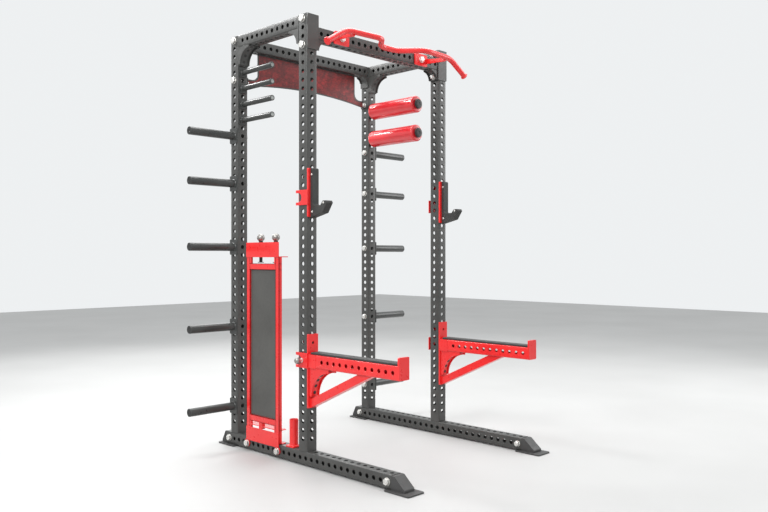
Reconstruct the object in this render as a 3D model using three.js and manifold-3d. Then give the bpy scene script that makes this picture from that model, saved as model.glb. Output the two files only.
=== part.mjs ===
// Power cage: four square uprights on two long base rails, with top rails, crossmembers, a forward
// pull-up bar, J-cups, spotter arms, weight pegs, storage pegs, foam rollers and a side storage panel.
// Millimetres, +Z up, +X to the user's right, the user's side (spotter arms) faces -Y.
// The origin is on the floor under the middle of the overall footprint.
import * as THREE from "three";
import { mergeVertices } from "three/addons/utils/BufferGeometryUtils.js";
import Module from "manifold-3d";

const wasm = await Module();
wasm.setup();

// ---- driving dimensions ----
const GAP = 0.3; // clearance between touching pieces
const TUBE = 75; // square tube, outside
const WALL = 3; // tube wall
const CAGE_WIDTH = 1145; // between upright centres, along X
const CAGE_DEPTH = 675; // between upright centres, along Y
const CAGE_HEIGHT = 2580; // floor to upright top
const PITCH = 50; // hole spacing on every tube
const HOLE = 25; // working hole for pegs and pins
const FIRST_HOLE_DROP = 26.5; // upright top to the centre of hole 0
const BOLT = 20; // main bolt shank
const BOLT_FIT = 0.6; // bolt hole over bolt shank, on the diameter
const HEX_WIDTH = 34; // bolt head across flats
const HEX_HEIGHT = 12;
const WASHER = { radius: 20, thick: 4 };
const NUT_DEPTH = 12; // a stud's end, inside the tube wall
const STUD_PAST = 12; // a through stud's end, beyond the far face

const FOOT_PLATE = 8; // foot plate thickness
const FOOT_WIDTH = 122;
const FRONT_RAIL_REACH = 702.5; // front upright centre to the rail's front end
const REAR_RAIL_REACH = 87.5; // rear upright centre to the rail's rear end
const FRONT_FOOT = { inner: 33, outer: 141, nose: 92 }; // measured from the rail end
const REAR_FOOT = { inner: 107, outer: 57, nose: 42 };
const NOSE_HEIGHT = 78; // foot casting above its plate, against the rail end
const NOSE_TIP = 22;
const NOSE_FLAT = 0.22; // share of the nose that is level on top
const SPIGOT = 110; // foot spigot inside the rail
const SPIGOT_CLEAR = 1.2; // spigot to tube wall
const FOOT_BOLT_INSET = 27.5; // rail end to foot bolt
const REAR_BOLT_INSET = 37.5;
const FOOT_BOLT_LENGTH = TUBE + 14;

const FLANGE = 8; // end plates of rails and crossmembers
const FRONT_TOP_BOLTS = [0, 3]; // hole numbers, from the top
const REAR_CROSS_BOLTS = [0, 2];
const NAMEPLATE_HOLE = 5;
const FRONT_WRAP = 6; // plate over the front face of each front upright
const FLANGE_OVER_BOLT = 25; // flange beyond its outermost bolt
const SIDE_GUSSET = { front: 85, rear: 108, lip: 6 };
const CROSS_GUSSET = 62;
const GUSSET_SHEET = 5;
const GUSSET_INSET = 11; // the hollow inside is this much smaller, from corner to edge
const GUSSET_HOLE = 18;
const GUSSET_HOLE_LOW = 1.1; // hole height below the corner, over the hollow edge's midpoint

const PLATE_THICK = 5; // nameplate
const PLATE_HALF_WIDTH = 430;
const PLATE_CUT_RADIUS = 45;
const PLATE_EAR_HALF = 26;
const EAR_BOLT_Y = 0; // ear bolt, from the upright's centre line
const PLATE_ARCH = 42; // rise of the lower edge at the middle

const BAR_RADIUS = 17; // pull-up bar
const BAR_FORWARD = 165; // outer grips, ahead of the crossmember face
const BAR_INNER_FORWARD = 185; // peak beside the recess
const BAR_RECESS = 55; // middle grip, ahead of the crossmember face
const BAR_DROP = 90; // end grips hang this far
const BAR_GRIP_HALF = [72, 190, 454, 600]; // half-lengths at the bends
const BAR_BEND = 45; // length each bend takes from the runs beside it
const BAR_STEPS = { along: 44, round: 5 };
const BAR_CAP = { radius: 23, length: 10 };
const BAR_BRACKET_AT = 350;
const BRACKET_PLATE = { width: 116, height: 76, thick: 10 };
const BRACKET_ARM = { thick: 12, foot: 18, head: 13, seat: 2, under: 27, lip: 6, rise: 30 };

const PEG_RADIUS = 25; // weight pegs
const PEG_LENGTH = 325;
const PEG_HOLES = [12, 18, 26, 36, 46];
const PEG_FLANGE = { width: 74, height: 96, thick: 8 };
const STORAGE_RADIUS = 17;
const STORAGE_LENGTH = 307;
const STORAGE_HOLES = [4, 6, 8, 10];
const STORAGE_FLANGE = { width: 60, height: 60, thick: 6 };

const ROLLER_RADIUS = 58.5;
const ROLLER_LENGTH = 435;
const ROLLER_HOLES = [6, 10];
const ROLLER_AXLE_RADIUS = 19;
const ROLLER_CLEAR = 1; // roller bore over axle, on the radius
const ROLLER_END_GAP = 4;
const ROLLER_EDGE = 8; // bevel at each end of the foam
const AXLE_FLANGE = { width: 74, height: 90, thick: FLANGE };
const ROLLER_CAP = { radius: 34, thick: 14 };

const CUP_HOLE = 18; // the J-cup's hanging peg
const CUP_PEG_FIT = 1.2; // hole over peg, on the diameter
const CUP_PEG_DEPTH = TUBE - 15;
const CUP_PLATE = 12;
const CUP_WIDTH = 47;
const CUP_TOP = 43; // above the peg
const CUP_BOTTOM = 238; // below the peg
const CUP_SADDLE_DEPTH = 170;
const CUP_LIP_DEPTH = 146; // top of the lip, below the peg
const CUP_STEM = 20; // thickness of the upright part of the liner
const CUP_OPENING = 80; // stem to lip
const CUP_LIP = 42;
const CUP_PLATE_SHORT = 4; // plate ends above the liner's foot
const LINER = { edge: 6, corner: 14, brow: 8, lipFront: 12, nose: 38, chin: 24 };
const FORK_PLATE = 6; // side plate that wraps the upright
const FORK_CLEAR = 0.6;
const FORK_HEIGHT = 86;
const FORK_REACH = 16; // beyond the upright's rear face
const NOTCH_RADIUS = 27;
const NOTCH_DEPTH = 50;
const NOTCH_IN = 14; // the notch also cuts this much of the rear return
const CUP_FORK_DROP = 122.5; // fork centre below the peg

const ARM_HOLE = 37; // spotter arm peg
const PIN_HOLE = 39; // spotter arm pull pin
const ARM_PLATE = 10;
const ARM_TOP = 50; // back plate above the peg
const ARM_BOTTOM = 370; // back plate below the peg
const ARM_TUBE = 75;
const ARM_WALL = 4;
const ARM_LENGTH = 700; // beam, from the back plate
const ARM_HOLE_FIRST = 125; // first beam hole, from the upright face
const ARM_HOLE_COUNT = 12;
const ARM_HOLE_DIAMETER = 22;
const ARM_STOP = { thick: 12, height: 118 };
const ARM_PAD = 12;
const ARM_PAD_START = 20; // from the back plate
const ARM_PAD_INSET = 4; // each side, from the beam's edge
const BRACE = 45;
const BRACE_MEETS_BEAM = 515; // brace underside meets the beam, from the upright face
const ARM_GUSSET = 165;
const ARM_GUSSET_THICK = 10;
const PIN_RADIUS = 9;
const PIN_DEPTH = 18; // past the tube's outer face
const KNOB_RADIUS = 18.5;
const KNOB_NECK = 13;
const BALL_FACETS = [14, 9];
const KNOB_OUT = 32; // knob centre beyond the fork plate

const PANEL_WIDTH = 322; // along Y
const PANEL_CENTRE_HOLE = 6; // rail hole under the panel's middle, from the rear upright
const PANEL_TOP = 1280;
const PANEL_HEAD = 90; // top and bottom face plates
const PANEL_FOOT_BOTTOM = 66;
const PANEL_FOOT_TOP = 150;
const PANEL_SHEET = 4;
const PANEL_STANDOFF = 4; // face plate clear of the rail side
const PANEL_DEPTH = 54;
const PIN_SHELF_DEPTH = 69;
const CHANNEL = { width: 34, depth: 22 };
const WINDOW = 38; // openings above and below the insert
const CROSSBAR = 38;
const INSERT_THICK = 4;
const INSERT_SETBACK = 8; // behind the face plates' rear face
const SHELF = 5;
const SHELF_RISE = 14; // lower shelf above the bottom face plate
const PANEL_BOSS_RADIUS = 21;
const PANEL_BOLT_SPREAD = 3; // hole spacings each side of the middle
const PANEL_PINS = [-75, 75]; // forward of the panel's middle
const PANEL_PIN_SETBACK = 44; // behind the face plates
const BALL_RADIUS = 24;
const BALL_OVER_PANEL = 30.5; // ball centre above the top face plate
const BALL_NECK = 13;
const PIN_ROD = 10;
const PIN_ROD_LENGTH = 38; // below the shelf it stands on
const PIN_ROD_FLANGE = { radius: 19, thick: 4 };
const PIN_ROD_FIT = 0.5; // on the radius

const HOLDER_RADIUS = 26;
const HOLDER_WALL = 3;
const HOLDER_HEIGHT = 160;
const HOLDER_BASE = { size: 70, thick: 8 };
const HOLDER_HOLE = 11; // rail hole under the bar holder

// facets round a full circle: bolts and holes, discs and tubes, large rounds
const COARSE = 12;
const ROUND = 20;
const FINE = 24;
const OVER = 1; // how far a cut or a join runs past a face

// ---- places worked out from them ----
const HALF = TUBE / 2;
const UPRIGHT_X = -CAGE_WIDTH / 2; // left side; the right side is its mirror image
const FRONT_Y = -CAGE_DEPTH / 2;
const REAR_Y = CAGE_DEPTH / 2;
const RAIL_BOTTOM = FOOT_PLATE + GAP;
const RAIL_TOP = RAIL_BOTTOM + TUBE;
const RAIL_MID = RAIL_BOTTOM + HALF;
const UPRIGHT_BOTTOM = RAIL_TOP + GAP;
const RAIL_FRONT = FRONT_Y - FRONT_RAIL_REACH;
const RAIL_REAR = REAR_Y + REAR_RAIL_REACH;
const FRONT_EXTENT = RAIL_FRONT - FRONT_FOOT.outer;
const REAR_EXTENT = RAIL_REAR + REAR_FOOT.outer;
const SIDE_RAIL_MID = CAGE_HEIGHT - HALF;
const OUTER_X = UPRIGHT_X - HALF;
const INNER_X = UPRIGHT_X + HALF;
const holeZ = (k) => CAGE_HEIGHT - FIRST_HOLE_DROP - PITCH * k;
const FRONT_CROSS_MID = (holeZ(FRONT_TOP_BOLTS[0]) + holeZ(FRONT_TOP_BOLTS[1])) / 2;

// ---- materials ----
const finish = (color, roughness, metalness) =>
  new THREE.MeshStandardMaterial({ color, roughness, metalness });
const charcoal = finish(0x4a4a49, 0.55, 0.2);
const red = finish(0xd8232a, 0.35, 0.1);
const zinc = finish(0xc9c8c4, 0.3, 0.9);
const rubber = finish(0x1c1c1d, 0.85, 0);
const liner = finish(0x3b3b3a, 0.6, 0);
const foam = finish(0xd92b2f, 0.7, 0);
const grey = finish(0x6c706f, 0.5, 0.3);

// ---- solids ----
function solid(geometry) {
  const bare = geometry.index ? geometry.toNonIndexed() : geometry.clone();
  bare.deleteAttribute("normal");
  bare.deleteAttribute("uv");
  const merged = mergeVertices(bare, 1e-3);
  return new wasm.Manifold(
    new wasm.Mesh({
      numProp: 3,
      vertProperties: merged.attributes.position.array,
      triVerts: new Uint32Array(merged.index.array),
    }),
  );
}

function geometryOf(body) {
  const mesh = body.getMesh();
  const geometry = new THREE.BufferGeometry();
  geometry.setAttribute("position", new THREE.BufferAttribute(mesh.vertProperties, 3));
  geometry.setIndex(new THREE.BufferAttribute(mesh.triVerts, 1));
  const flat = geometry.toNonIndexed();
  flat.computeVertexNormals();
  return flat;
}

const join = (...bodies) => bodies.flat().reduce((whole, body) => whole.add(body));
const cut = (body, ...tools) => tools.flat().reduce((left, tool) => left.subtract(tool), body);

// A box between two values on each axis.
function block([x0, x1], [y0, y1], [z0, z1]) {
  const box = new THREE.BoxGeometry(Math.abs(x1 - x0), Math.abs(y1 - y0), Math.abs(z1 - z0));
  return solid(box.translate((x0 + x1) / 2, (y0 + y1) / 2, (z0 + z1) / 2));
}

// A cylinder along an axis from one value to another; at holds its place on the other two axes.
function rod(axis, radius, from, to, at, sides = COARSE) {
  const shape = new THREE.CylinderGeometry(radius, radius, Math.abs(to - from), sides);
  const middle = (from + to) / 2;
  if (axis === "x") return solid(shape.rotateZ(Math.PI / 2).translate(middle, at[0], at[1]));
  if (axis === "y") return solid(shape.translate(at[0], middle, at[1]));
  return solid(shape.rotateX(Math.PI / 2).translate(at[0], at[1], middle));
}

// A hexagonal head along X.
const hexHead = (from, to, at) =>
  rod("x", HEX_WIDTH / 2 / Math.cos(Math.PI / 6), from, to, at, 6);

// An outline in the YZ plane, as [y, z] points or a Shape, given a width along X.
function sideOutline(outline, x0, x1) {
  const shape = Array.isArray(outline)
    ? new THREE.Shape(outline.map(([y, z]) => new THREE.Vector2(y, z)))
    : outline;
  const body = new THREE.ExtrudeGeometry(shape, {
    depth: Math.abs(x1 - x0),
    bevelEnabled: false,
    curveSegments: 10,
  });
  // shape x -> Y, shape y -> Z, depth -> X
  body.applyMatrix4(new THREE.Matrix4().makeBasis(
    new THREE.Vector3(0, 1, 0), new THREE.Vector3(0, 0, 1), new THREE.Vector3(1, 0, 0)));
  return solid(body.translate(Math.min(x0, x1), 0, 0));
}

// An outline in the XZ plane, given a depth along Y.
function frontOutline(shape, y0, y1) {
  const body = new THREE.ExtrudeGeometry(shape, {
    depth: Math.abs(y1 - y0),
    bevelEnabled: false,
    curveSegments: 10,
  });
  return solid(body.rotateX(Math.PI / 2).translate(0, Math.max(y0, y1), 0));
}

// A corner web with a hollow quarter-circle edge: corner at the origin, arms along +a and -b.
function hollowCorner(size, flip) {
  const shape = new THREE.Shape();
  shape.moveTo(0, 0);
  shape.lineTo(flip * size, 0);
  shape.absarc(flip * size, -size, size, Math.PI / 2, flip > 0 ? Math.PI : 0, flip > 0 ? false : true);
  shape.closePath();
  return shape;
}

// ---- the scene graph ----
const powerCage = new THREE.Group();
const cage = new THREE.Group();
cage.position.y = -(FRONT_EXTENT + REAR_EXTENT) / 2;
powerCage.add(cage);

function put(parent, name, body, material, position = [0, 0, 0]) {
  const mesh = new THREE.Mesh(geometryOf(body), material);
  mesh.name = name;
  mesh.position.set(...position);
  parent.add(mesh);
}

// ---- tubes ----
const boltHole = (axis, from, to, at) => rod(axis, (BOLT + BOLT_FIT) / 2, from, to, at);
const workingHole = (axis, from, to, at) => rod(axis, HOLE / 2, from, to, at);

// holes: a list of { k, face, size }. face is "through" both side walls, or "outer" or "front" only.
function upright(atY, holes) {
  const inside = HALF - WALL;
  const tube = cut(
    block([-HALF, HALF], [-HALF, HALF], [UPRIGHT_BOTTOM, CAGE_HEIGHT]),
    block([-inside, inside], [-inside, inside], [UPRIGHT_BOTTOM - OVER, CAGE_HEIGHT + OVER]),
  );
  const tools = holes.map(({ k, face, size }) => {
    const axis = face === "front" ? "y" : "x";
    return rod(axis, size / 2, -HALF - OVER, face === "through" ? HALF + OVER : 0, [0, holeZ(k)]);
  });
  return { body: cut(tube, tools), position: [UPRIGHT_X, atY, 0] };
}

function baseRail(withPanel) {
  const inside = HALF - WALL;
  const length = [RAIL_FRONT, RAIL_REAR];
  const tube = cut(
    block([-HALF, HALF], length, [RAIL_BOTTOM, RAIL_TOP]),
    block([-inside, inside], [length[0] - OVER, length[1] + OVER], [RAIL_MID - inside, RAIL_MID + inside]),
  );
  const across = [RAIL_FRONT + FOOT_BOLT_INSET, RAIL_REAR - REAR_BOLT_INSET];
  const tools = across.map((y) => boltHole("x", -HALF - OVER, HALF + OVER, [y, RAIL_MID]));
  if (withPanel)
    for (const y of panelBoltPlaces()) tools.push(boltHole("x", -HALF - OVER, 0, [y, RAIL_MID]));
  return cut(tube, tools);
}

// A foot: plate under the rail end, sloping nose beyond it, spigot inside it. Points towards -Y.
function foot(size, boltInset) {
  const half = HALF - WALL - SPIGOT_CLEAR;
  const top = RAIL_MID + half;
  const plate = block([-FOOT_WIDTH / 2, FOOT_WIDTH / 2], [-size.outer, size.inner], [0, FOOT_PLATE]);
  const nose = sideOutline(
    [
      [-GAP, 0], [-GAP, NOSE_HEIGHT], [-size.nose * NOSE_FLAT, NOSE_HEIGHT],
      [-size.nose, NOSE_TIP], [-size.nose, 0],
    ],
    -HALF, HALF,
  );
  const spigot = block([-half, half], [-GAP - OVER, SPIGOT], [RAIL_MID - half, top]);
  return cut(join(plate, nose, spigot), boltHole("x", -HALF, HALF, [boltInset, RAIL_MID]));
}

// A bolt across the rail, its head outside.
function railBolt(length) {
  const shank = rod("x", BOLT / 2, -HALF - GAP - OVER, -HALF + length, [0, RAIL_MID]);
  const face = -HALF - GAP;
  const under = face - WASHER.thick;
  const disc = rod("x", WASHER.radius, under, face, [0, RAIL_MID], ROUND);
  return join(shank, disc, hexHead(under - HEX_HEIGHT, under + OVER, [0, RAIL_MID]));
}

// A box gusset under a tube, its underside a hollow quarter circle. Corner at the origin, growing
// along +Y (flip 1) or -Y (flip -1) and down.
function boxGusset(size, flip) {
  const sheet = cut(
    sideOutline(hollowCorner(size, flip), -HALF, HALF),
    sideOutline(hollowCorner(size - GUSSET_INSET, flip), -HALF + GUSSET_SHEET, HALF - GUSSET_SHEET),
  );
  const middle = size * (1 - Math.SQRT1_2); // the hollow edge's midpoint, from the corner
  const drill = rod("y", GUSSET_HOLE / 2, flip * middle / 2, flip * size, [0, -middle * GUSSET_HOLE_LOW]);
  return cut(sheet, drill);
}

function topSideRail() {
  const inside = HALF - WALL;
  const [y0, y1] = [FRONT_Y + HALF + GAP, REAR_Y - HALF - GAP];
  const z = SIDE_RAIL_MID;
  const tube = cut(
    block([-HALF, HALF], [y0, y1], [z - HALF, z + HALF]),
    block([-inside, inside], [y0 - OVER, y1 + OVER], [z - inside, z + inside]),
  );
  const drain = workingHole("x", -HALF - OVER, HALF + OVER, [0, z]);
  const plates = [
    { y: y0, flip: 1, size: SIDE_GUSSET.front },
    { y: y1, flip: -1, size: SIDE_GUSSET.rear },
  ].map(({ y, flip, size }) => {
    const flangeFoot = z - HALF - size - SIDE_GUSSET.lip;
    const flange = block([-HALF, HALF], [y, y + flip * FLANGE], [flangeFoot, z + HALF]);
    const gusset = boxGusset(size, flip).translate([0, y + flip * (FLANGE - OVER), z - HALF + OVER]);
    return join(flange, gusset);
  });
  return cut(join(tube, plates), drain);
}

// A crossmember between two uprights. Its end plates take a bolt at each of two hole numbers.
function crossmember(midZ, bolts, wrapsFront, holesAt) {
  const inside = HALF - WALL;
  const end = -INNER_X - GAP;
  const tube = cut(
    block([-end, end], [-HALF, HALF], [midZ - HALF, midZ + HALF]),
    block([-end - OVER, end + OVER], [-inside, inside], [midZ - inside, midZ + inside]),
  );
  const top = Math.min(holeZ(bolts[0]) + FLANGE_OVER_BOLT, CAGE_HEIGHT);
  const bottom = holeZ(bolts[1]) - FLANGE_OVER_BOLT;
  const ends = [-1, 1].map((side) => {
    const flange = block([side * end, side * (end - FLANGE)], [-HALF, HALF], [bottom, top]);
    const web = hollowCorner(CROSS_GUSSET, -side);
    const below = frontOutline(web, -HALF, HALF)
      .translate([side * (end - FLANGE + OVER), 0, midZ - HALF + OVER]);
    const holes = bolts.map((k) =>
      boltHole("x", side * (end + OVER), side * (end - FLANGE - OVER), [0, holeZ(k)]));
    const parts = [flange, below];
    if (wrapsFront) {
      const face = -HALF - GAP;
      parts.push(block([side * (end - FLANGE), side * -OUTER_X], [face - FRONT_WRAP, face], [bottom, top]));
      parts.push(block([side * (end - FLANGE), side * end], [face - OVER, -HALF + OVER], [bottom, top]));
    }
    return cut(join(parts), holes);
  });
  const across = holesAt.map((x) => boltHole("y", -HALF - OVER, HALF + OVER, [x, midZ]));
  return cut(join(tube, ends), across);
}

// The shaped sign plate under the rear crossmember, with a bolted ear at each end.
function nameplate() {
  const top = SIDE_RAIL_MID - HALF - GAP;
  const ear = holeZ(NAMEPLATE_HOLE);
  const reach = -INNER_X - GAP;
  const shape = new THREE.Shape();
  shape.moveTo(-reach, ear - PLATE_EAR_HALF);
  shape.quadraticCurveTo(0, ear - PLATE_EAR_HALF + 2 * PLATE_ARCH, reach, ear - PLATE_EAR_HALF);
  shape.lineTo(reach, ear + PLATE_EAR_HALF);
  const elbow = ear + PLATE_EAR_HALF + PLATE_CUT_RADIUS;
  shape.lineTo(PLATE_HALF_WIDTH + PLATE_CUT_RADIUS, ear + PLATE_EAR_HALF);
  shape.absarc(PLATE_HALF_WIDTH + PLATE_CUT_RADIUS, elbow, PLATE_CUT_RADIUS, -Math.PI / 2, -Math.PI, true);
  shape.lineTo(PLATE_HALF_WIDTH, top);
  shape.lineTo(-PLATE_HALF_WIDTH, top);
  shape.lineTo(-PLATE_HALF_WIDTH, elbow);
  shape.absarc(-PLATE_HALF_WIDTH - PLATE_CUT_RADIUS, elbow, PLATE_CUT_RADIUS, 0, -Math.PI / 2, true);
  shape.lineTo(-reach, ear + PLATE_EAR_HALF);
  shape.closePath();
  const plate = frontOutline(shape, -PLATE_THICK / 2, PLATE_THICK / 2);
  const earHoles = [-1, 1].map((side) =>
    boltHole("x", side * (reach + OVER), side * (reach - PLATE_THICK - OVER), [EAR_BOLT_Y, ear]));
  const tabs = [-1, 1].map((side) =>
    block([side * reach, side * (reach - PLATE_THICK)], [-HALF, HALF],
      [ear - PLATE_EAR_HALF, ear + PLATE_EAR_HALF]));
  return cut(join(plate, tabs), earHoles);
}

// ---- pull-up bar ----
// Straight runs between the bends, each bend a short curve.
function bentPath(points, radius) {
  const path = new THREE.CurvePath();
  let from = points[0];
  for (let i = 1; i < points.length - 1; i++) {
    const corner = points[i];
    const before = corner.clone().add(points[i - 1].clone().sub(corner).setLength(radius));
    const after = corner.clone().add(points[i + 1].clone().sub(corner).setLength(radius));
    path.add(new THREE.LineCurve3(from, before));
    path.add(new THREE.QuadraticBezierCurve3(before, corner, after));
    from = after;
  }
  path.add(new THREE.LineCurve3(from, points[points.length - 1]));
  return path;
}

function pullUpBar() {
  const [recess, peak, bend, tip] = BAR_GRIP_HALF;
  const half = [
    [recess, -BAR_RECESS, 0],
    [peak, -BAR_INNER_FORWARD, 0],
    [bend, -BAR_FORWARD, 0],
    [tip, -BAR_FORWARD, -BAR_DROP],
  ];
  const points = [
    ...half.map(([x, y, z]) => new THREE.Vector3(-x, y, z)).reverse(),
    ...half.map(([x, y, z]) => new THREE.Vector3(x, y, z)),
  ];
  const section = new THREE.Shape();
  section.absarc(0, 0, BAR_RADIUS, 0, 2 * Math.PI);
  const bar = solid(new THREE.ExtrudeGeometry(section, {
    extrudePath: bentPath(points, BAR_BEND),
    steps: BAR_STEPS.along,
    curveSegments: BAR_STEPS.round,
    bevelEnabled: false,
  }));
  const caps = [-1, 1].map((side) => {
    const cap = new THREE.CylinderGeometry(BAR_CAP.radius, BAR_CAP.radius, BAR_CAP.length, ROUND);
    const slope = Math.atan2(BAR_DROP, tip - bend);
    return solid(cap.rotateZ(Math.PI / 2 - side * slope).translate(side * tip, -BAR_FORWARD, -BAR_DROP));
  });
  return join(bar, caps);
}

// Plate on the crossmember face; the arm on its outer edge cradles the bar from below.
function barBracket() {
  const { width, height, thick } = BRACKET_PLATE;
  const plate = block([-width / 2, width / 2], [-thick - GAP, -GAP], [-height / 2, height / 2]);
  const t = (BAR_BRACKET_AT - BAR_GRIP_HALF[1]) / (BAR_GRIP_HALF[2] - BAR_GRIP_HALF[1]);
  const barY = -(BAR_INNER_FORWARD + t * (BAR_FORWARD - BAR_INNER_FORWARD));
  const { foot: low, head, seat: level, under, lip, rise } = BRACKET_ARM;
  const arm = sideOutline(
    [[-thick, -low], [-thick, head], [barY + rise, level], [barY - lip, level], [barY - lip, -under]],
    -width / 2, -width / 2 + BRACKET_ARM.thick,
  );
  const slant = Math.atan2(BAR_INNER_FORWARD - BAR_FORWARD, BAR_GRIP_HALF[2] - BAR_GRIP_HALF[1]);
  const seat = new THREE.CylinderGeometry(BAR_RADIUS + GAP, BAR_RADIUS + GAP, 2 * width, FINE);
  const groove = solid(seat.rotateZ(Math.PI / 2 - slant).translate(0, barY, 0));
  return cut(join(plate, arm), groove, rod("y", (BOLT + BOLT_FIT) / 2, -thick - OVER, 1, [0, 0]));
}

// ---- pegs and rollers ----
function flangedPeg(axis, radius, length, flange, stud, sides) {
  const start = -HALF - GAP;
  const shaft = rod(axis, radius, start - flange.thick + OVER, start - length, [0, 0], sides);
  const spans = [[-flange.width / 2, flange.width / 2], [start - flange.thick, start]];
  const tall = [-flange.height / 2, flange.height / 2];
  const plate = axis === "x" ? block(spans[1], spans[0], tall) : block(spans[0], spans[1], tall);
  return join(plate, shaft, rod(axis, BOLT / 2, start - OVER, stud, [0, 0]));
}

function rollerAxle() {
  return flangedPeg("y", ROLLER_AXLE_RADIUS, FLANGE + ROLLER_LENGTH + 2 * ROLLER_END_GAP,
    AXLE_FLANGE, -HALF + WALL + NUT_DEPTH, ROUND);
}

function foamRoller() {
  const length = ROLLER_LENGTH / 2;
  const bore = ROLLER_AXLE_RADIUS + ROLLER_CLEAR;
  const profile = [
    [bore, -length], [ROLLER_RADIUS - ROLLER_EDGE, -length], [ROLLER_RADIUS, -length + ROLLER_EDGE],
    [ROLLER_RADIUS, length - ROLLER_EDGE], [ROLLER_RADIUS - ROLLER_EDGE, length],
    [bore, length], [bore, -length],
  ].map(([r, y]) => new THREE.Vector2(r, y));
  return solid(new THREE.LatheGeometry(profile, FINE));
}

// ---- J-cup and spotter arm ----
// Side plate round the outside of the upright with a notch open to the rear, and the return behind it.
// The origin is on the upright's front face, on its centre line.
function fork(centreZ, plateFront) {
  const inner = -HALF - FORK_CLEAR;
  const outer = inner - FORK_PLATE;
  const rear = TUBE + FORK_REACH;
  const tall = [centreZ - FORK_HEIGHT / 2, centreZ + FORK_HEIGHT / 2];
  const side = block([outer, inner], [plateFront, rear], tall);
  const web = block([outer, -HALF + OVER], [plateFront, -GAP], tall);
  const back = block([outer, HALF], [rear - FORK_PLATE, rear], tall);
  const slotEnd = rear - NOTCH_DEPTH + NOTCH_RADIUS;
  const notch = join(
    rod("x", NOTCH_RADIUS, outer - OVER, inner + OVER, [slotEnd, centreZ], FINE),
    block([outer - OVER, inner + NOTCH_IN], [slotEnd, rear + OVER],
      [centreZ - NOTCH_RADIUS, centreZ + NOTCH_RADIUS]),
  );
  return cut(join(side, web, back), notch);
}

function jCup() {
  const plate = block([-HALF, HALF], [-CUP_PLATE - GAP, -GAP], [-CUP_BOTTOM + CUP_PLATE_SHORT, CUP_TOP]);
  const peg = rod("y", (HOLE - CUP_PEG_FIT) / 2, -GAP - OVER, CUP_PEG_DEPTH, [0, 0]);
  return join(plate, peg, fork(-CUP_FORK_DROP, -CUP_PLATE - GAP));
}

function jCupLiner() {
  const back = -CUP_PLATE - 2 * GAP;
  const stem = back - CUP_STEM;
  const lipInner = stem - CUP_OPENING;
  const lipOuter = lipInner - CUP_LIP;
  const { edge, corner, brow, lipFront, nose, chin } = LINER;
  const shape = new THREE.Shape();
  shape.moveTo(back, CUP_TOP);
  shape.lineTo(stem + edge, CUP_TOP);
  shape.quadraticCurveTo(stem, CUP_TOP, stem, CUP_TOP - edge);
  shape.lineTo(stem, -CUP_SADDLE_DEPTH + corner);
  shape.quadraticCurveTo(stem, -CUP_SADDLE_DEPTH, stem - corner, -CUP_SADDLE_DEPTH);
  shape.lineTo(lipInner + corner, -CUP_SADDLE_DEPTH);
  shape.lineTo(lipInner, -CUP_LIP_DEPTH - edge);
  shape.lineTo(lipInner - edge, -CUP_LIP_DEPTH);
  shape.lineTo(lipOuter + brow, -CUP_LIP_DEPTH);
  shape.lineTo(lipOuter, -CUP_LIP_DEPTH - lipFront);
  shape.lineTo(lipOuter + nose, -CUP_BOTTOM + chin);
  shape.lineTo(back, -CUP_BOTTOM);
  shape.closePath();
  return sideOutline(shape, -CUP_WIDTH / 2, CUP_WIDTH / 2);
}

const PIN_DROP = PITCH * (PIN_HOLE - ARM_HOLE); // pull pin below the hanging peg
const BEAM_TOP = -PIN_DROP + ARM_TUBE / 2;
const BEAM_BOTTOM = BEAM_TOP - ARM_TUBE;

function spotterArm() {
  const face = -ARM_PLATE - GAP;
  const plate = block([-HALF, HALF], [face, -GAP], [-ARM_BOTTOM, ARM_TOP]);
  const peg = rod("y", (HOLE - CUP_PEG_FIT) / 2, -GAP - OVER, CUP_PEG_DEPTH, [0, 0]);
  const half = ARM_TUBE / 2;
  const inside = half - ARM_WALL;
  const tip = face - ARM_LENGTH;
  const beam = cut(
    block([-half, half], [tip - OVER, face + OVER], [BEAM_BOTTOM, BEAM_TOP]),
    block([-inside, inside], [tip, face], [BEAM_BOTTOM + ARM_WALL, BEAM_TOP - ARM_WALL]),
  );
  const stop = block([-half, half], [tip - ARM_STOP.thick, tip],
    [BEAM_BOTTOM, BEAM_BOTTOM + ARM_STOP.height]);
  const brace = armBrace(face);
  const gusset = sideOutline(hollowCorner(ARM_GUSSET, -1), -ARM_GUSSET_THICK / 2, ARM_GUSSET_THICK / 2)
    .translate([0, face + OVER, BEAM_BOTTOM + OVER]);
  const ends = [0, ARM_HOLE_COUNT - 1].map((i) =>
    rod("x", ARM_HOLE_DIAMETER / 2, -half - OVER, half + OVER, [-ARM_HOLE_FIRST - PITCH * i, -PIN_DROP]));
  const pinHole = rod("x", PIN_RADIUS + BOLT_FIT, -HALF - FORK_PLATE - WALL, -HALF, [HALF, -PIN_DROP]);
  return cut(join(plate, peg, beam, stop, brace, gusset, fork(-PIN_DROP, face)), ends, pinHole);
}

// A square strut from the foot of the back plate up to the underside of the beam.
function armBrace(face) {
  const under = BEAM_BOTTOM + OVER;
  const slope = (under + ARM_BOTTOM) / (BRACE_MEETS_BEAM + face);
  const rise = BRACE * Math.hypot(1, slope); // the strut's depth, measured straight up
  const outline = [
    [face + OVER, -ARM_BOTTOM],
    [face + OVER, -ARM_BOTTOM + rise],
    [-BRACE_MEETS_BEAM + rise / slope, under],
    [-BRACE_MEETS_BEAM, under],
    [face, -ARM_BOTTOM],
  ];
  return sideOutline(outline, -BRACE / 2, BRACE / 2);
}

function armPad() {
  const from = -ARM_PLATE - GAP - ARM_PAD_START;
  const to = -ARM_PLATE - ARM_LENGTH;
  const half = ARM_TUBE / 2 - ARM_PAD_INSET;
  return block([-half, half], [to, from], [BEAM_TOP + GAP, BEAM_TOP + GAP + ARM_PAD]);
}

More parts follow.
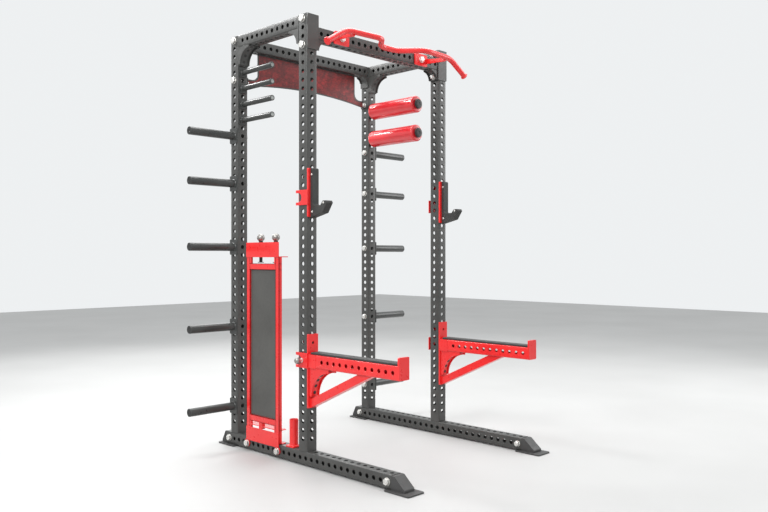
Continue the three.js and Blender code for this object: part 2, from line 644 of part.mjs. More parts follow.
// Pull pin with a ball knob, along X; the origin is where it crosses the upright's side face.
function pullPin() {
  const plate = -FORK_CLEAR - FORK_PLATE - GAP;
  const shank = rod("x", PIN_RADIUS, plate - OVER, PIN_DEPTH, [0, 0]);
  const neck = rod("x", KNOB_NECK, plate - KNOB_OUT, plate, [0, 0]);
  const knob = new THREE.SphereGeometry(KNOB_RADIUS, ...BALL_FACETS);
  return join(shank, neck, solid(knob.translate(plate - KNOB_OUT, 0, 0)));
}

// ---- side storage panel ----
const PIN_SHELF_TOP = PANEL_TOP - PANEL_HEAD + SHELF;
const panelMiddle = REAR_Y - PITCH * PANEL_CENTRE_HOLE;
const panelBoltPlaces = () => [-1, 1].map((side) => panelMiddle + side * PITCH * PANEL_BOLT_SPREAD);

// Origin: rail centre line, panel middle, floor.
function panelFrame() {
  const half = PANEL_WIDTH / 2;
  const back = -HALF - PANEL_STANDOFF;
  const front = back - PANEL_SHEET;
  const across = [-half, half];
  const head = block([front, back], across, [PANEL_TOP - PANEL_HEAD, PANEL_TOP]);
  const foot = block([front, back], across, [PANEL_FOOT_BOTTOM, PANEL_FOOT_TOP]);
  const base = RAIL_TOP + GAP;
  const inner = back + PANEL_DEPTH;
  const channels = [-1, 1].map((side) => block(
    [back - OVER, back + CHANNEL.depth], [side * half, side * (half - CHANNEL.width)],
    [base, PANEL_TOP - PANEL_HEAD + OVER]));
  const bars = panelBars().map((z) => block([back - OVER, back + CHANNEL.depth], across, z));
  const shelves = [base, PANEL_FOOT_TOP + SHELF_RISE].map((z) =>
    block([back - OVER, inner], across, [z, z + SHELF]));
  const pinShelf = block(
    [back - OVER, back + PIN_SHELF_DEPTH], across, [PIN_SHELF_TOP - SHELF, PIN_SHELF_TOP]);
  const bosses = panelBoltPlaces().map((y) => join(
    rod("x", PANEL_BOSS_RADIUS, front, -HALF - GAP, [y - panelMiddle, RAIL_MID], ROUND),
    block([front, back], [y - panelMiddle - PANEL_BOSS_RADIUS, y - panelMiddle + PANEL_BOSS_RADIUS],
      [RAIL_MID, PANEL_FOOT_BOTTOM + OVER])));
  const bores = panelBoltPlaces().map((y) =>
    boltHole("x", front - OVER, -HALF, [y - panelMiddle, RAIL_MID]));
  const pinBores = PANEL_PINS.map((y) =>
    rod("z", PIN_ROD + PIN_ROD_FIT, PIN_SHELF_TOP - SHELF - OVER, PIN_SHELF_TOP + OVER, [pinX(), -y]));
  return cut(join(head, foot, channels, bars, shelves, pinShelf, bosses), bores, pinBores);
}
const pinX = () => -HALF - PANEL_STANDOFF + PANEL_PIN_SETBACK;

// Heights of the crossbars above and below the insert.
function panelBars() {
  const upper = PANEL_TOP - PANEL_HEAD - WINDOW;
  const lower = PANEL_FOOT_TOP + WINDOW;
  return [[upper - CROSSBAR, upper], [lower, lower + CROSSBAR]];
}

function panelInsert() {
  const [upper, lower] = panelBars();
  const half = PANEL_WIDTH / 2 - CHANNEL.width - GAP;
  const x = -HALF - PANEL_STANDOFF + INSERT_SETBACK;
  return block([x, x + INSERT_THICK], [-half, half], [lower[1] + GAP, upper[0] - GAP]);
}

// Ball-topped lift pin; the origin is on the shelf that it stands on.
function ballPin() {
  const ballAt = PANEL_TOP + BALL_OVER_PANEL - PIN_SHELF_TOP;
  const neck = rod("z", BALL_NECK, GAP, ballAt, [0, 0], ROUND);
  const shaft = rod("z", PIN_ROD, -PIN_ROD_LENGTH, GAP + OVER, [0, 0]);
  const flange = rod("z", PIN_ROD_FLANGE.radius, -PIN_ROD_LENGTH,
    -PIN_ROD_LENGTH + PIN_ROD_FLANGE.thick, [0, 0], ROUND);
  const ball = new THREE.SphereGeometry(BALL_RADIUS, ...BALL_FACETS);
  return join(neck, shaft, flange, solid(ball.translate(0, 0, ballAt)));
}

function barHolder() {
  const base = RAIL_TOP + GAP;
  const half = HOLDER_BASE.size / 2;
  const tube = rod("z", HOLDER_RADIUS, base, base + HOLDER_HEIGHT, [0, 0], ROUND);
  const bore = rod("z", HOLDER_RADIUS - HOLDER_WALL, base + HOLDER_BASE.thick, base + HOLDER_HEIGHT + OVER,
    [0, 0], ROUND);
  return cut(join(block([-half, half], [-half, half], [base, base + HOLDER_BASE.thick]), tube), bore);
}

// ---- assembly ----
const bolts = (list) => list.map((k) => ({ k, face: "through", size: BOLT + BOLT_FIT }));
const frontHoles = [
  ...bolts(FRONT_TOP_BOLTS),
  { k: CUP_HOLE, face: "front", size: HOLE },
  { k: ARM_HOLE, face: "front", size: HOLE },
  { k: PIN_HOLE, face: "outer", size: HOLE },
];
const rearFaceHoles = { left: STORAGE_HOLES, right: ROLLER_HOLES };

for (const side of ["left", "right"]) {
  const half = new THREE.Group();
  half.scale.x = side === "left" ? 1 : -1;
  cage.add(half);

  put(half, `base_rail_${side}`, baseRail(side === "left"), charcoal, [UPRIGHT_X, 0, 0]);
  put(half, `foot_front_${side}`, foot(FRONT_FOOT, FOOT_BOLT_INSET), rubber, [UPRIGHT_X, RAIL_FRONT, 0]);
  const rear = new THREE.Group();
  rear.position.set(UPRIGHT_X, RAIL_REAR, 0);
  rear.rotation.z = Math.PI;
  half.add(rear);
  put(rear, `foot_rear_${side}`, foot(REAR_FOOT, REAR_BOLT_INSET), rubber);
  put(half, `foot_bolt_front_${side}`, railBolt(FOOT_BOLT_LENGTH), zinc,
    [UPRIGHT_X, RAIL_FRONT + FOOT_BOLT_INSET, 0]);
  put(half, `foot_bolt_rear_${side}`, railBolt(FOOT_BOLT_LENGTH), zinc,
    [UPRIGHT_X, RAIL_REAR - REAR_BOLT_INSET, 0]);

  const front = upright(FRONT_Y, frontHoles);
  put(half, `upright_front_${side}`, front.body, charcoal, front.position);
  const back = upright(REAR_Y, [
    ...bolts([...REAR_CROSS_BOLTS, NAMEPLATE_HOLE, ...PEG_HOLES]),
    ...rearFaceHoles[side].map((k) => ({ k, face: "front", size: BOLT + BOLT_FIT })),
  ]);
  put(half, `upright_rear_${side}`, back.body, charcoal, back.position);
  put(half, `top_side_rail_${side}`, topSideRail(), charcoal, [UPRIGHT_X, 0, 0]);

  PEG_HOLES.forEach((k, i) => {
    const peg = flangedPeg("x", PEG_RADIUS, PEG_LENGTH, PEG_FLANGE, HALF + STUD_PAST, ROUND);
    put(half, `weight_peg_${side}_${i + 1}`, peg, charcoal, [UPRIGHT_X, REAR_Y, holeZ(k)]);
  });

  const cupAt = [UPRIGHT_X, FRONT_Y - HALF, holeZ(CUP_HOLE)];
  put(half, `j_cup_${side}`, jCup(), red, cupAt);
  put(half, `j_cup_liner_${side}`, jCupLiner(), liner, cupAt);
  const armAt = [UPRIGHT_X, FRONT_Y - HALF, holeZ(ARM_HOLE)];
  put(half, `spotter_arm_${side}`, spotterArm(), red, armAt);
  put(half, `spotter_arm_pad_${side}`, armPad(), liner, armAt);
  put(half, `spotter_pin_${side}`, pullPin(), zinc, [OUTER_X, FRONT_Y, holeZ(PIN_HOLE)]);
  put(half, `pull_up_bracket_${side}`, barBracket(), red,
    [-BAR_BRACKET_AT, FRONT_Y - HALF, FRONT_CROSS_MID]);
}

put(cage, "front_crossmember", crossmember(FRONT_CROSS_MID, FRONT_TOP_BOLTS, true,
  [-BAR_BRACKET_AT, BAR_BRACKET_AT]), charcoal, [0, FRONT_Y, 0]);
put(cage, "rear_crossmember", crossmember(SIDE_RAIL_MID, REAR_CROSS_BOLTS, false, [0]), charcoal,
  [0, REAR_Y, 0]);
put(cage, "nameplate", nameplate(), red, [0, REAR_Y, 0]);
put(cage, "pull_up_bar", pullUpBar(), red, [0, FRONT_Y - HALF, FRONT_CROSS_MID]);

STORAGE_HOLES.forEach((k, i) => {
  const stud = -HALF + WALL + NUT_DEPTH;
  const peg = flangedPeg("y", STORAGE_RADIUS, STORAGE_LENGTH, STORAGE_FLANGE, stud, ROUND);
  put(cage, `storage_peg_${i + 1}`, peg, grey, [UPRIGHT_X, REAR_Y, holeZ(k)]);
});

ROLLER_HOLES.forEach((k, i) => {
  const name = i ? "lower" : "upper";
  const flangeFace = REAR_Y - HALF - GAP - FLANGE;
  put(cage, `roller_axle_${name}`, rollerAxle(), charcoal, [-UPRIGHT_X, REAR_Y, holeZ(k)]);
  put(cage, `foam_roller_${name}`, foamRoller(), foam,
    [-UPRIGHT_X, flangeFace - ROLLER_END_GAP - ROLLER_LENGTH / 2, holeZ(k)]);
  const capFace = flangeFace - ROLLER_LENGTH - 2 * ROLLER_END_GAP - GAP;
  put(cage, `roller_cap_${name}`,
    rod("y", ROLLER_CAP.radius, -ROLLER_CAP.thick, 0, [0, 0], ROUND), rubber,
    [-UPRIGHT_X, capFace, holeZ(k)]);
});

put(cage, "panel_frame", panelFrame(), red, [UPRIGHT_X, panelMiddle, 0]);
put(cage, "panel_insert", panelInsert(), charcoal, [UPRIGHT_X, panelMiddle, 0]);
PANEL_PINS.forEach((y, i) => {
  put(cage, `ball_pin_${i ? "front" : "rear"}`, ballPin(), zinc,
    [UPRIGHT_X + pinX(), panelMiddle - y, PIN_SHELF_TOP]);
});
put(cage, "bar_holder", barHolder(), red, [UPRIGHT_X, REAR_Y - PITCH * HOLDER_HOLE, 0]);

export default powerCage;
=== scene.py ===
"""Power cage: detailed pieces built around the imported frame.

Metres, +X to the right of a user who faces the cage, -Y towards that user, +Z up, floor at 0.
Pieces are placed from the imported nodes' boxes and the hole pattern. sign is -1 on the left side.
"""

from math import cos, hypot, pi, radians, sin, sqrt

import bmesh
import bpy
from mathutils import Matrix, Vector
from mathutils.geometry import tessellate_polygon


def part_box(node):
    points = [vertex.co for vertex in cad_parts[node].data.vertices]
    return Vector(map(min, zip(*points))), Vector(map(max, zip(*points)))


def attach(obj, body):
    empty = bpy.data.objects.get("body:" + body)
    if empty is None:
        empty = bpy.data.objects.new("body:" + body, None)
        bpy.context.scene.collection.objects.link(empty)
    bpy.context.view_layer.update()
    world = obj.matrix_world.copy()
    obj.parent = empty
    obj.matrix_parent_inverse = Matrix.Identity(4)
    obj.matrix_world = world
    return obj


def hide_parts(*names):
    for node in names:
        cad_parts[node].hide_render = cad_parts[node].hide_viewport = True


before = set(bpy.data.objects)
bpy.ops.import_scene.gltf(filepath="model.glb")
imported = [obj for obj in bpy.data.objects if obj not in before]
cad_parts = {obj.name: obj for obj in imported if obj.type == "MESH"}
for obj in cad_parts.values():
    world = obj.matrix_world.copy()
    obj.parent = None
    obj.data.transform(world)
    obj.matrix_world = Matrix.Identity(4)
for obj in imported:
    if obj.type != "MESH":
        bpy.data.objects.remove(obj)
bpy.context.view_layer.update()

# ---- camera ----
CAMERA_AT = (-3.4789, -3.4701, 1.1974)
CAMERA_TURN = -45.39  # degrees about Z from looking along +Y
CAMERA_LENS = 36.86

scene = bpy.context.scene
camera_data = bpy.data.cameras.new("camera")
camera_data.lens = CAMERA_LENS
camera_data.sensor_width = 36
camera = bpy.data.objects.new("camera", camera_data)
camera.location = CAMERA_AT
camera.rotation_euler = (radians(90), 0, radians(CAMERA_TURN))
scene.collection.objects.link(camera)
scene.camera = camera
scene.view_settings.view_transform = "Standard"

# ---- sizes shared by several pieces ----
TUBE = 0.075
HALF = TUBE / 2
WALL = 0.003
CORNER = 0.006  # outside corner radius of the square tube
PITCH = 0.05
HOLE = 0.0125  # radius of a pattern hole
LIP = 0.0009  # chamfer round each hole
FIRST_HOLE_DROP = 0.0265
SKIN = 0.0004  # how far a thin layer stands off or is set in
GAP = 0.0003  # clearance between neighbours

# ---- holes in use, counted down from the top of an upright ----
UPRIGHT_HOLES = 49
EAR_HOLE = 5
CUP_HOLE = 18
ARM_PEG_HOLE, ARM_PIN_HOLE = 37, 39
WEIGHT_PEG_HOLES = (12, 18, 26, 36, 46)
STORAGE_PEG_HOLES = (4, 6, 8, 10)


def mid(node):
    lo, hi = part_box(node)
    return (lo + hi) / 2


SIDE_X = -mid("upright_front_left").x
FRONT_Y = mid("upright_front_left").y
REAR_Y = mid("upright_rear_left").y
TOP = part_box("upright_front_left")[1].z
CROSS_Z = mid("pull_up_bracket_left").z


def hole_z(k):
    """Height of hole number k."""
    return TOP - FIRST_HOLE_DROP - PITCH * k


def span(middle, half):
    return middle - half, middle + half


# ---- materials ----
def fill(node, values):
    """Sets a node's inputs by name."""
    for name, value in values.items():
        node.inputs[name].default_value = value


def material(name, roughness, metallic=0.0, coat=0.0, coat_roughness=0.1):
    """A material, its node tree and its Principled shader."""
    made = bpy.data.materials.new(name)
    made.use_nodes = True
    shader = made.node_tree.nodes["Principled BSDF"]
    fill(shader, {"Roughness": roughness, "Metallic": metallic, "Coat Weight": coat,
                  "Coat Roughness": coat_roughness})
    return made, made.node_tree, shader


def coordinates(tree, stretch=(1, 1, 1)):
    where = tree.nodes.new("ShaderNodeTexCoord")
    scale = tree.nodes.new("ShaderNodeMapping")
    fill(scale, {"Scale": stretch})
    tree.links.new(where.outputs["Object"], scale.inputs["Vector"])
    return scale.outputs["Vector"]


def noise(tree, size, detail=3.0, stretch=(1, 1, 1)):
    """Noise whose features are about size metres across."""
    made = tree.nodes.new("ShaderNodeTexNoise")
    fill(made, {"Scale": 1 / size, "Detail": detail})
    tree.links.new(coordinates(tree, stretch), made.inputs["Vector"])
    return made.outputs["Fac"]


def ramp(tree, factor, stops):
    made = tree.nodes.new("ShaderNodeValToRGB")
    first, last = made.color_ramp.elements
    first.position, first.color = stops[0]
    last.position, last.color = stops[-1]
    for position, color in stops[1:-1]:
        made.color_ramp.elements.new(position).color = color
    tree.links.new(factor, made.inputs["Fac"])
    return made.outputs["Color"]


def paint(tree, shader, factor, stops):
    tree.links.new(ramp(tree, factor, stops), shader.inputs["Base Color"])


def spread(tree, factor, low, high):
    """Maps noise, which mostly lies from 0.3 to 0.7, to a range."""
    made = tree.nodes.new("ShaderNodeMapRange")
    fill(made, {"From Min": 0.3, "From Max": 0.7, "To Min": low, "To Max": high})
    tree.links.new(factor, made.inputs["Value"])
    return made.outputs["Result"]


def bump(tree, shader, height, depth, strength=1.0):
    made = tree.nodes.new("ShaderNodeBump")
    fill(made, {"Distance": depth, "Strength": strength})
    tree.links.new(height, made.inputs["Height"])
    tree.links.new(made.outputs["Normal"], shader.inputs["Normal"])


def rgb(r, g, b):
    return (r, g, b, 1.0)


def surface(name, drift, stops, gloss, rough, grain, depth, stretch=(1, 1, 1), **shader_values):
    """Colour that drifts through stops, roughness that drifts over a range, and a raised grain.

    drift and grain are a noise's size and detail, gloss is the size of the roughness patches.
    """
    made, tree, shader = material(name, rough[0], **shader_values)
    paint(tree, shader, noise(tree, *drift), stops)
    tree.links.new(spread(tree, noise(tree, gloss), *rough), shader.inputs["Roughness"])
    bump(tree, shader, noise(tree, *grain, stretch), depth)
    return made


def powder_coat(name, dark, light, rough, grain, depth, coat=0.0):
    """Powder coat: slow colour drift, fine orange peel, slightly uneven gloss."""
    return surface(name, (0.16, 4.0), [(0.3, dark), (0.7, light)], 0.02, rough, (grain, 2.0), depth,
                   coat=coat, coat_roughness=0.12)


def zinc():
    """Zinc-plated steel: passivated patches and a fine turned grain."""
    return surface("zinc", (0.006, 5.0),
                   [(0.3, rgb(0.62, 0.61, 0.58)), (0.55, rgb(0.80, 0.79, 0.76)),
                    (0.75, rgb(0.90, 0.89, 0.87))],
                   0.004, (0.24, 0.42), (0.0012, 3.0), 0.00008, metallic=0.9)


def knob_metal():
    """Bare turned ball: satin silver with faint rings."""
    made, tree, shader = material("knob_metal", 0.34, metallic=0.75)
    paint(tree, shader, noise(tree, 0.012, 4.0),
          [(0.3, rgb(0.26, 0.255, 0.24)), (0.7, rgb(0.40, 0.39, 0.37))])
    rings = tree.nodes.new("ShaderNodeTexWave")
    fill(rings, {"Scale": 260, "Distortion": 0.6})
    tree.links.new(coordinates(tree), rings.inputs["Vector"])
    bump(tree, shader, rings.outputs["Fac"], 0.00006)
    return made


def black_plastic():
    return surface("black_plastic", (0.03, 3.0),
                   [(0.3, rgb(0.012, 0.012, 0.012)), (0.7, rgb(0.022, 0.022, 0.022))],
                   0.008, (0.42, 0.6), (0.0009, 2.0), 0.00012)


def liner_plastic():
    """Machined wear plastic: faint saw lines along its length and pale scuffs."""
    return surface("liner_plastic", (0.05, 5.0),
                   [(0.3, rgb(0.024, 0.024, 0.023)), (0.62, rgb(0.032, 0.032, 0.031)),
                    (0.8, rgb(0.046, 0.046, 0.044))],
                   0.01, (0.6, 0.75), (0.002, 3.0), 0.0001, stretch=(1, 0.05, 1))


def foam_skin():
    """Skinned foam: glossy red with a soft dimple and small creases."""
    return surface("foam_skin", (0.08, 4.0), [(0.3, rgb(0.66, 0.012, 0.02)), (0.7, rgb(0.78, 0.02, 0.03))],
                   0.015, (0.28, 0.4), (0.004, 4.0), 0.00018, coat=0.9, coat_roughness=0.07)


def sign_face():
    """Printed red sheet with a generic broken-line pattern."""
    made, tree, shader = material("sign_face", 0.42)
    cells = tree.nodes.new("ShaderNodeTexVoronoi")
    cells.feature = "DISTANCE_TO_EDGE"
    fill(cells, {"Scale": 34})
    tree.links.new(coordinates(tree, (1, 1, 1.7)), cells.inputs["Vector"])
    lines = ramp(tree, cells.outputs["Distance"], [(0.02, rgb(0.05, 0.006, 0.006)), (0.10, rgb(1, 1, 1))])
    blotch = ramp(tree, noise(tree, 0.09, 5.0),
                  [(0.40, rgb(0.22, 0.014, 0.014)), (0.50, rgb(0.12, 0.010, 0.010)),
                   (0.62, rgb(0.28, 0.018, 0.018))])
    mixed = tree.nodes.new("ShaderNodeMix")
    mixed.data_type = "RGBA"
    mixed.blend_type = "MULTIPLY"
    mixed.inputs["Factor"].default_value = 0.55
    tree.links.new(blotch, mixed.inputs["A"])
    tree.links.new(lines, mixed.inputs["B"])
    tree.links.new(mixed.outputs["Result"], shader.inputs["Base Color"])
    tree.links.new(spread(tree, noise(tree, 0.02), 0.36, 0.5), shader.inputs["Roughness"])
    bump(tree, shader, cells.outputs["Distance"], 0.0003, 0.4)
    return made


def panel_laminate():
    """Dark grey insert board: fine leather-like grain and slight sheen."""
    return surface("panel_laminate", (0.2, 5.0),
                   [(0.3, rgb(0.062, 0.061, 0.057)), (0.7, rgb(0.080, 0.079, 0.073))],
                   0.02, (0.42, 0.56), (0.0018, 4.0), 0.0002)


def floor_finish():
    made, tree, shader = material("floor_finish", 0.6)
    paint(tree, shader, noise(tree, 1.2, 5.0),
          [(0.3, rgb(0.43, 0.43, 0.425)), (0.7, rgb(0.47, 0.47, 0.465))])
    bump(tree, shader, noise(tree, 0.01, 4.0), 0.0004)
    return made


CHARCOAL = powder_coat("charcoal_coat", rgb(0.044, 0.044, 0.042), rgb(0.058, 0.058, 0.055),
                       (0.34, 0.46), 0.0016, 0.00022)
RED = powder_coat("red_coat", rgb(0.70, 0.012, 0.014), rgb(0.80, 0.02, 0.02),
                  (0.26, 0.36), 0.0028, 0.00012, coat=0.25)
PEG = powder_coat("peg_coat", rgb(0.036, 0.038, 0.037), rgb(0.046, 0.048, 0.046),
                  (0.26, 0.36), 0.0016, 0.00012)
PEG_RING = powder_coat("peg_ring", rgb(0.30, 0.32, 0.31), rgb(0.36, 0.38, 0.37),
                       (0.3, 0.42), 0.0012, 0.0001)
CAST = powder_coat("cast_coat", rgb(0.042, 0.042, 0.042), rgb(0.058, 0.057, 0.056),
                   (0.5, 0.66), 0.0035, 0.0005)
GRIP = powder_coat("grip_coat", rgb(0.72, 0.014, 0.016), rgb(0.82, 0.022, 0.022),
                   (0.24, 0.34), 0.0016, 0.00016, coat=0.3)
ZINC, KNOB, BLACK, LINER = zinc(), knob_metal(), black_plastic(), liner_plastic()
FOAM, SIGN, BOARD = foam_skin(), sign_face(), panel_laminate()

# ---- mesh building ----
PLANE = {"x": (1, 2, 0), "y": (0, 2, 1), "z": (0, 1, 2)}  # where u, v and the length go


def at(axis, u, v, t):
    """A point from its place across (u, v) and along (t) an axis: u, v are Y, Z or X, Z or X, Y."""
    point = [0.0, 0.0, 0.0]
    for place, value in zip(PLANE[axis], (u, v, t)):
        point[place] = value
    return Vector(point)


def quarter(steps):
    """Angles from 0 to 90 degrees."""
    return [pi / 2 * i / steps for i in range(steps + 1)]


def quarter_arc(centre, radius, du, dv, steps=14):
    """A quarter circle from below its centre to beside it, where (1, 1) is (left, down)."""
    return [(centre[0] - du * radius * sin(g), centre[1] - dv * radius * cos(g))
            for g in quarter(steps)]


def bend(start, corner, end, steps):
    """Points of a smooth bend round a corner."""
    return [start * (1 - t) ** 2 + corner * 2 * t * (1 - t) + end * t * t
            for t in (k / steps for k in range(steps + 1))]


def prism(bm, axis, outline, a, b, holes=()):
    """An outline of (u, v) points, with round holes (u, v, radius), given a length along an axis."""
    loops = [list(outline)]
    for u, v, r in holes:
        loops.append([(u + r * cos(i * pi / 10), v + r * sin(i * pi / 10))
                      for i in range(20)])
    flat = [p for loop in loops for p in loop]
    ends = [[bm.verts.new(at(axis, u, v, t)) for u, v in flat] for t in (a, b)]
    for i, j, k in tessellate_polygon([[Vector((u, v, 0)) for u, v in loop] for loop in loops]):
        for verts in ends:
            bm.faces.new((verts[i], verts[j], verts[k]))
    start = 0
    for loop in loops:
        n = len(loop)
        for i in range(n):
            j = (i + 1) % n
            bm.faces.new([ends[0][start + i], ends[0][start + j], ends[1][start + j], ends[1][start + i]])
        start += n


def block(bm, x, y, z):
    """A box between two values on each axis."""
    x, y = sorted(x), sorted(y)
    prism(bm, "z", [(x[0], y[0]), (x[1], y[0]), (x[1], y[1]), (x[0], y[1])], *sorted(z))


def rounded(points, radius, steps=5):
    """The outline with each corner turned into a bend."""
    made = []
    n = len(points)
    for i, point in enumerate(points):
        corner = Vector(point)
        before = Vector(points[i - 1]) - corner
        after = Vector(points[(i + 1) % n]) - corner
        reach = min(radius, before.length * 0.45, after.length * 0.45)
        start, end = corner + before.normalized() * reach, corner + after.normalized() * reach
        made += [tuple(point) for point in bend(start, corner, end, steps)]
    return made


def rectangle(u, v, radius=0.0):
    points = [(u[0], v[0]), (u[1], v[0]), (u[1], v[1]), (u[0], v[1])]
    return rounded(points, radius) if radius else points


def lathe(bm, axis, centre, profile, sides=32):
    """A closed turned body: profile of (place along the axis, radius), first and last on the axis."""
    rings = []
    for t, r in profile:
        if r < 1e-6:
            rings.append([bm.verts.new(at(axis, centre[0], centre[1], t))])
        else:
            rings.append([
                bm.verts.new(at(axis, centre[0] + r * cos(2 * pi * i / sides),
                                centre[1] + r * sin(2 * pi * i / sides), t))
                for i in range(sides)])
    for near, far in zip(rings, rings[1:]):
        for i in range(sides):
            j = (i + 1) % sides
            quad = [near[i % len(near)], near[j % len(near)], far[j % len(far)], far[i % len(far)]]
            face = list(dict.fromkeys(quad))
            if len(face) > 2:
                bm.faces.new(face)


def rod(bm, axis, centre, a, b, radius, sides=32, edge=0.0008):
    """A cylinder with a small chamfer at each end."""
    step = edge if b > a else -edge
    lathe(bm, axis, centre, [(a, 0), (a, radius - edge), (a + step, radius), (b - step, radius),
                             (b, radius - edge), (b, 0)], sides)


def ball(bm, axis, centre, middle, radius, steps, sides):
    lathe(bm, axis, centre, [(middle + radius * cos(pi * i / steps),
                              radius * sin(pi * i / steps)) for i in range(steps + 1)], sides)


def aim(bm, place, direction):
    """Turns a mesh made along +Z towards a direction, at its place."""
    turn = Vector((0, 0, 1)).rotation_difference(direction).to_matrix().to_4x4()
    bmesh.ops.transform(bm, matrix=Matrix.Translation(place) @ turn, verts=bm.verts)


HEX_TURN = 0.35  # how far hexagons are turned from square, in radians


def hex_head(bm, axis, centre, base, direction, across, height):
    """A hexagon head with a turned crown, standing on base."""
    corner = across / sqrt(3)
    rings = []
    for rise, shrink in ((0, 1.0), (height * 0.82, 1.0), (height, 0.86)):
        rings.append([
            bm.verts.new(at(axis, centre[0] + corner * shrink * cos(i * pi / 3 + HEX_TURN),
                            centre[1] + corner * shrink * sin(i * pi / 3 + HEX_TURN),
                            base + direction * rise))
            for i in range(6)])
    for near, far in zip(rings, rings[1:]):
        for i in range(6):
            j = (i + 1) % 6
            bm.faces.new((near[i], near[j], far[j], far[i]))
    bm.faces.new(rings[0])
    bm.faces.new(rings[-1])


BOLT_WASHER, NUT_WASHER, NUT_HEIGHT = 0.004, 0.003, 0.015


def bolt(bm, axis, centre, face, direction, washer=0.020, across=0.034, height=0.012):
    """Washer and hexagon head on a face."""
    seat = face + direction * BOLT_WASHER
    rod(bm, axis, centre, face, seat, washer, 36)
    hex_head(bm, axis, centre, seat, direction, across, height)


def nut(bm, axis, centre, face, direction, stub=0.007):
    """Washer, nut and the end of the bolt's thread, which stands out by stub."""
    seat = face + direction * NUT_WASHER
    rod(bm, axis, centre, face, seat, 0.0185, 36)
    hex_head(bm, axis, centre, seat, direction, 0.030, NUT_HEIGHT)
    rod(bm, axis, centre, face, face + direction * (NUT_WASHER + NUT_HEIGHT + stub), 0.0095, 24)


def sweep(bm, points, radius, sides=28):
    """A round bar along a line of points."""
    tangents = []
    for i in range(len(points)):
        near, far = points[max(i - 1, 0)], points[min(i + 1, len(points) - 1)]
        tangents.append((far - near).normalized())
    across = tangents[0].orthogonal().normalized()
    rings = []
    for point, tangent in zip(points, tangents):
        across = (across - tangent * across.dot(tangent)).normalized()
        other = tangent.cross(across)
        rings.append([
            bm.verts.new(point + (across * cos(a) + other * sin(a)) * radius)
            for a in (2 * pi * i / sides for i in range(sides))])
    for near, far in zip(rings, rings[1:]):
        for i in range(sides):
            j = (i + 1) % sides
            bm.faces.new((near[i], near[j], far[j], far[i]))
    bm.faces.new(rings[0])
    bm.faces.new(rings[-1])


ROW = 7  # points across one side of a square tube: four on the flat, three round the corner


def perforated(bm, axis, centre, a, b, stations, sides=(0, 1, 2, 3), wall=WALL, radius=HOLE):
    """A square tube with a real hole at each station on the chosen sides: 0 +u, 1 +v, 2 -u, 3 -v."""
    flat = HALF - CORNER
    arc = (0, pi / 6, pi / 3)

    def perimeter(half, turn):
        points = []
        for side in range(4):
            c, s = round(cos(side * pi / 2)), round(sin(side * pi / 2))
            run = [(half, y) for y in (-flat, -flat / 2, 0, flat / 2)]
            run += [(flat + turn * cos(g), flat + turn * sin(g)) for g in arc]
            points += [(x * c - y * s, x * s + y * c) for x, y in run]
        return points

    rows, cells = [a], []
    for tc in stations:
        low = max(tc - PITCH / 2, a)
        high = min(tc + PITCH / 2, b)
        if low - rows[-1] > 1e-5:
            rows.append(low)
        cells.append((len(rows) - 1, tc))
        rows += [(low + tc) / 2, tc, (high + tc) / 2, high]
    if b - rows[-1] > 1e-5:
        rows.append(b)
    in_cell = {start + i: tc for start, tc in cells for i in range(4)}
    skins = []
    for half, turn in ((HALF, CORNER), (HALF - wall, CORNER - wall)):
        line = perimeter(half, turn)
        skins.append([[bm.verts.new(at(axis, centre[0] + u, centre[1] + v, t)) for u, v in line]
                      for t in rows])
    count = 4 * ROW
    for skin in skins:
        for j in range(len(rows) - 1):
            for i in range(count):
                if j in in_cell and i % ROW < 4 and i // ROW in sides:
                    continue
                k = (i + 1) % count
                bm.faces.new((skin[j][i], skin[j][k], skin[j + 1][k], skin[j + 1][i]))
    for j in (0, len(rows) - 1):
        for i in range(count):
            k = (i + 1) % count
            bm.faces.new((skins[0][j][i], skins[0][j][k], skins[1][j][k], skins[1][j][i]))
    for start, tc in cells:
        for side in sides:
            c, s = round(cos(side * pi / 2)), round(sin(side * pi / 2))
            first = ROW * side

            def ring(depth, r):
                made = []
                for n in range(16):
                    g = pi / 4 + n * pi / 8
                    x, y = HALF - depth, r * cos(g)
                    made.append(bm.verts.new(at(
                        axis, centre[0] + x * c - y * s, centre[1] + x * s + y * c, tc + r * sin(g))))
                return made

            rings = [ring(0, radius + LIP), ring(LIP, radius), ring(wall, radius)]
            order = [(4, 4), (3, 4), (2, 4), (1, 4), (0, 4), (0, 3), (0, 2), (0, 1),
                     (0, 0), (1, 0), (2, 0), (3, 0), (4, 0), (4, 1), (4, 2), (4, 3)]
            edges = [[skin[start + row][(first + column) % count] for column, row in order]
                     for skin in skins]
            for near, far in ((edges[0], rings[0]), (rings[0], rings[1]), (rings[1], rings[2]),
                              (rings[2], edges[1])):
                for n in range(16):
                    m = (n + 1) % 16
                    bm.faces.new((near[n], near[m], far[m], far[n]))


def piece(name, bm, finish, stands_for=None, body="cage", bevel=0.0012, smooth=32):
    """Turns the mesh into an object that rides on a body and may stand for a CAD node."""
    bmesh.ops.recalc_face_normals(bm, faces=bm.faces)
    mesh = bpy.data.meshes.new(name)
    bm.to_mesh(mesh)
    bm.free()
    mesh.materials.append(finish)
    mesh.shade_smooth()
    mesh.set_sharp_from_angle(angle=radians(smooth))
    made = bpy.data.objects.new(name, mesh)
    scene.collection.objects.link(made)
    if bevel:
        rounding = made.modifiers.new("edges", "BEVEL")
        rounding.width = bevel
        rounding.segments = 2
        rounding.limit_method = "ANGLE"
        rounding.angle_limit = radians(40)
        rounding.harden_normals = True
    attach(made, body)
    if stands_for:
        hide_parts(stands_for)
    return made


SIDES = (("left", -1), ("right", 1))
OUTER, INSIDE = SIDE_X + HALF, SIDE_X - HALF  # the uprights' outer and inner faces
INNER = INSIDE - GAP  # where pieces between the uprights end
SHANK = 0.010  # radius of a bolt's shank
FINE = 0.0008  # bevel of small hardware

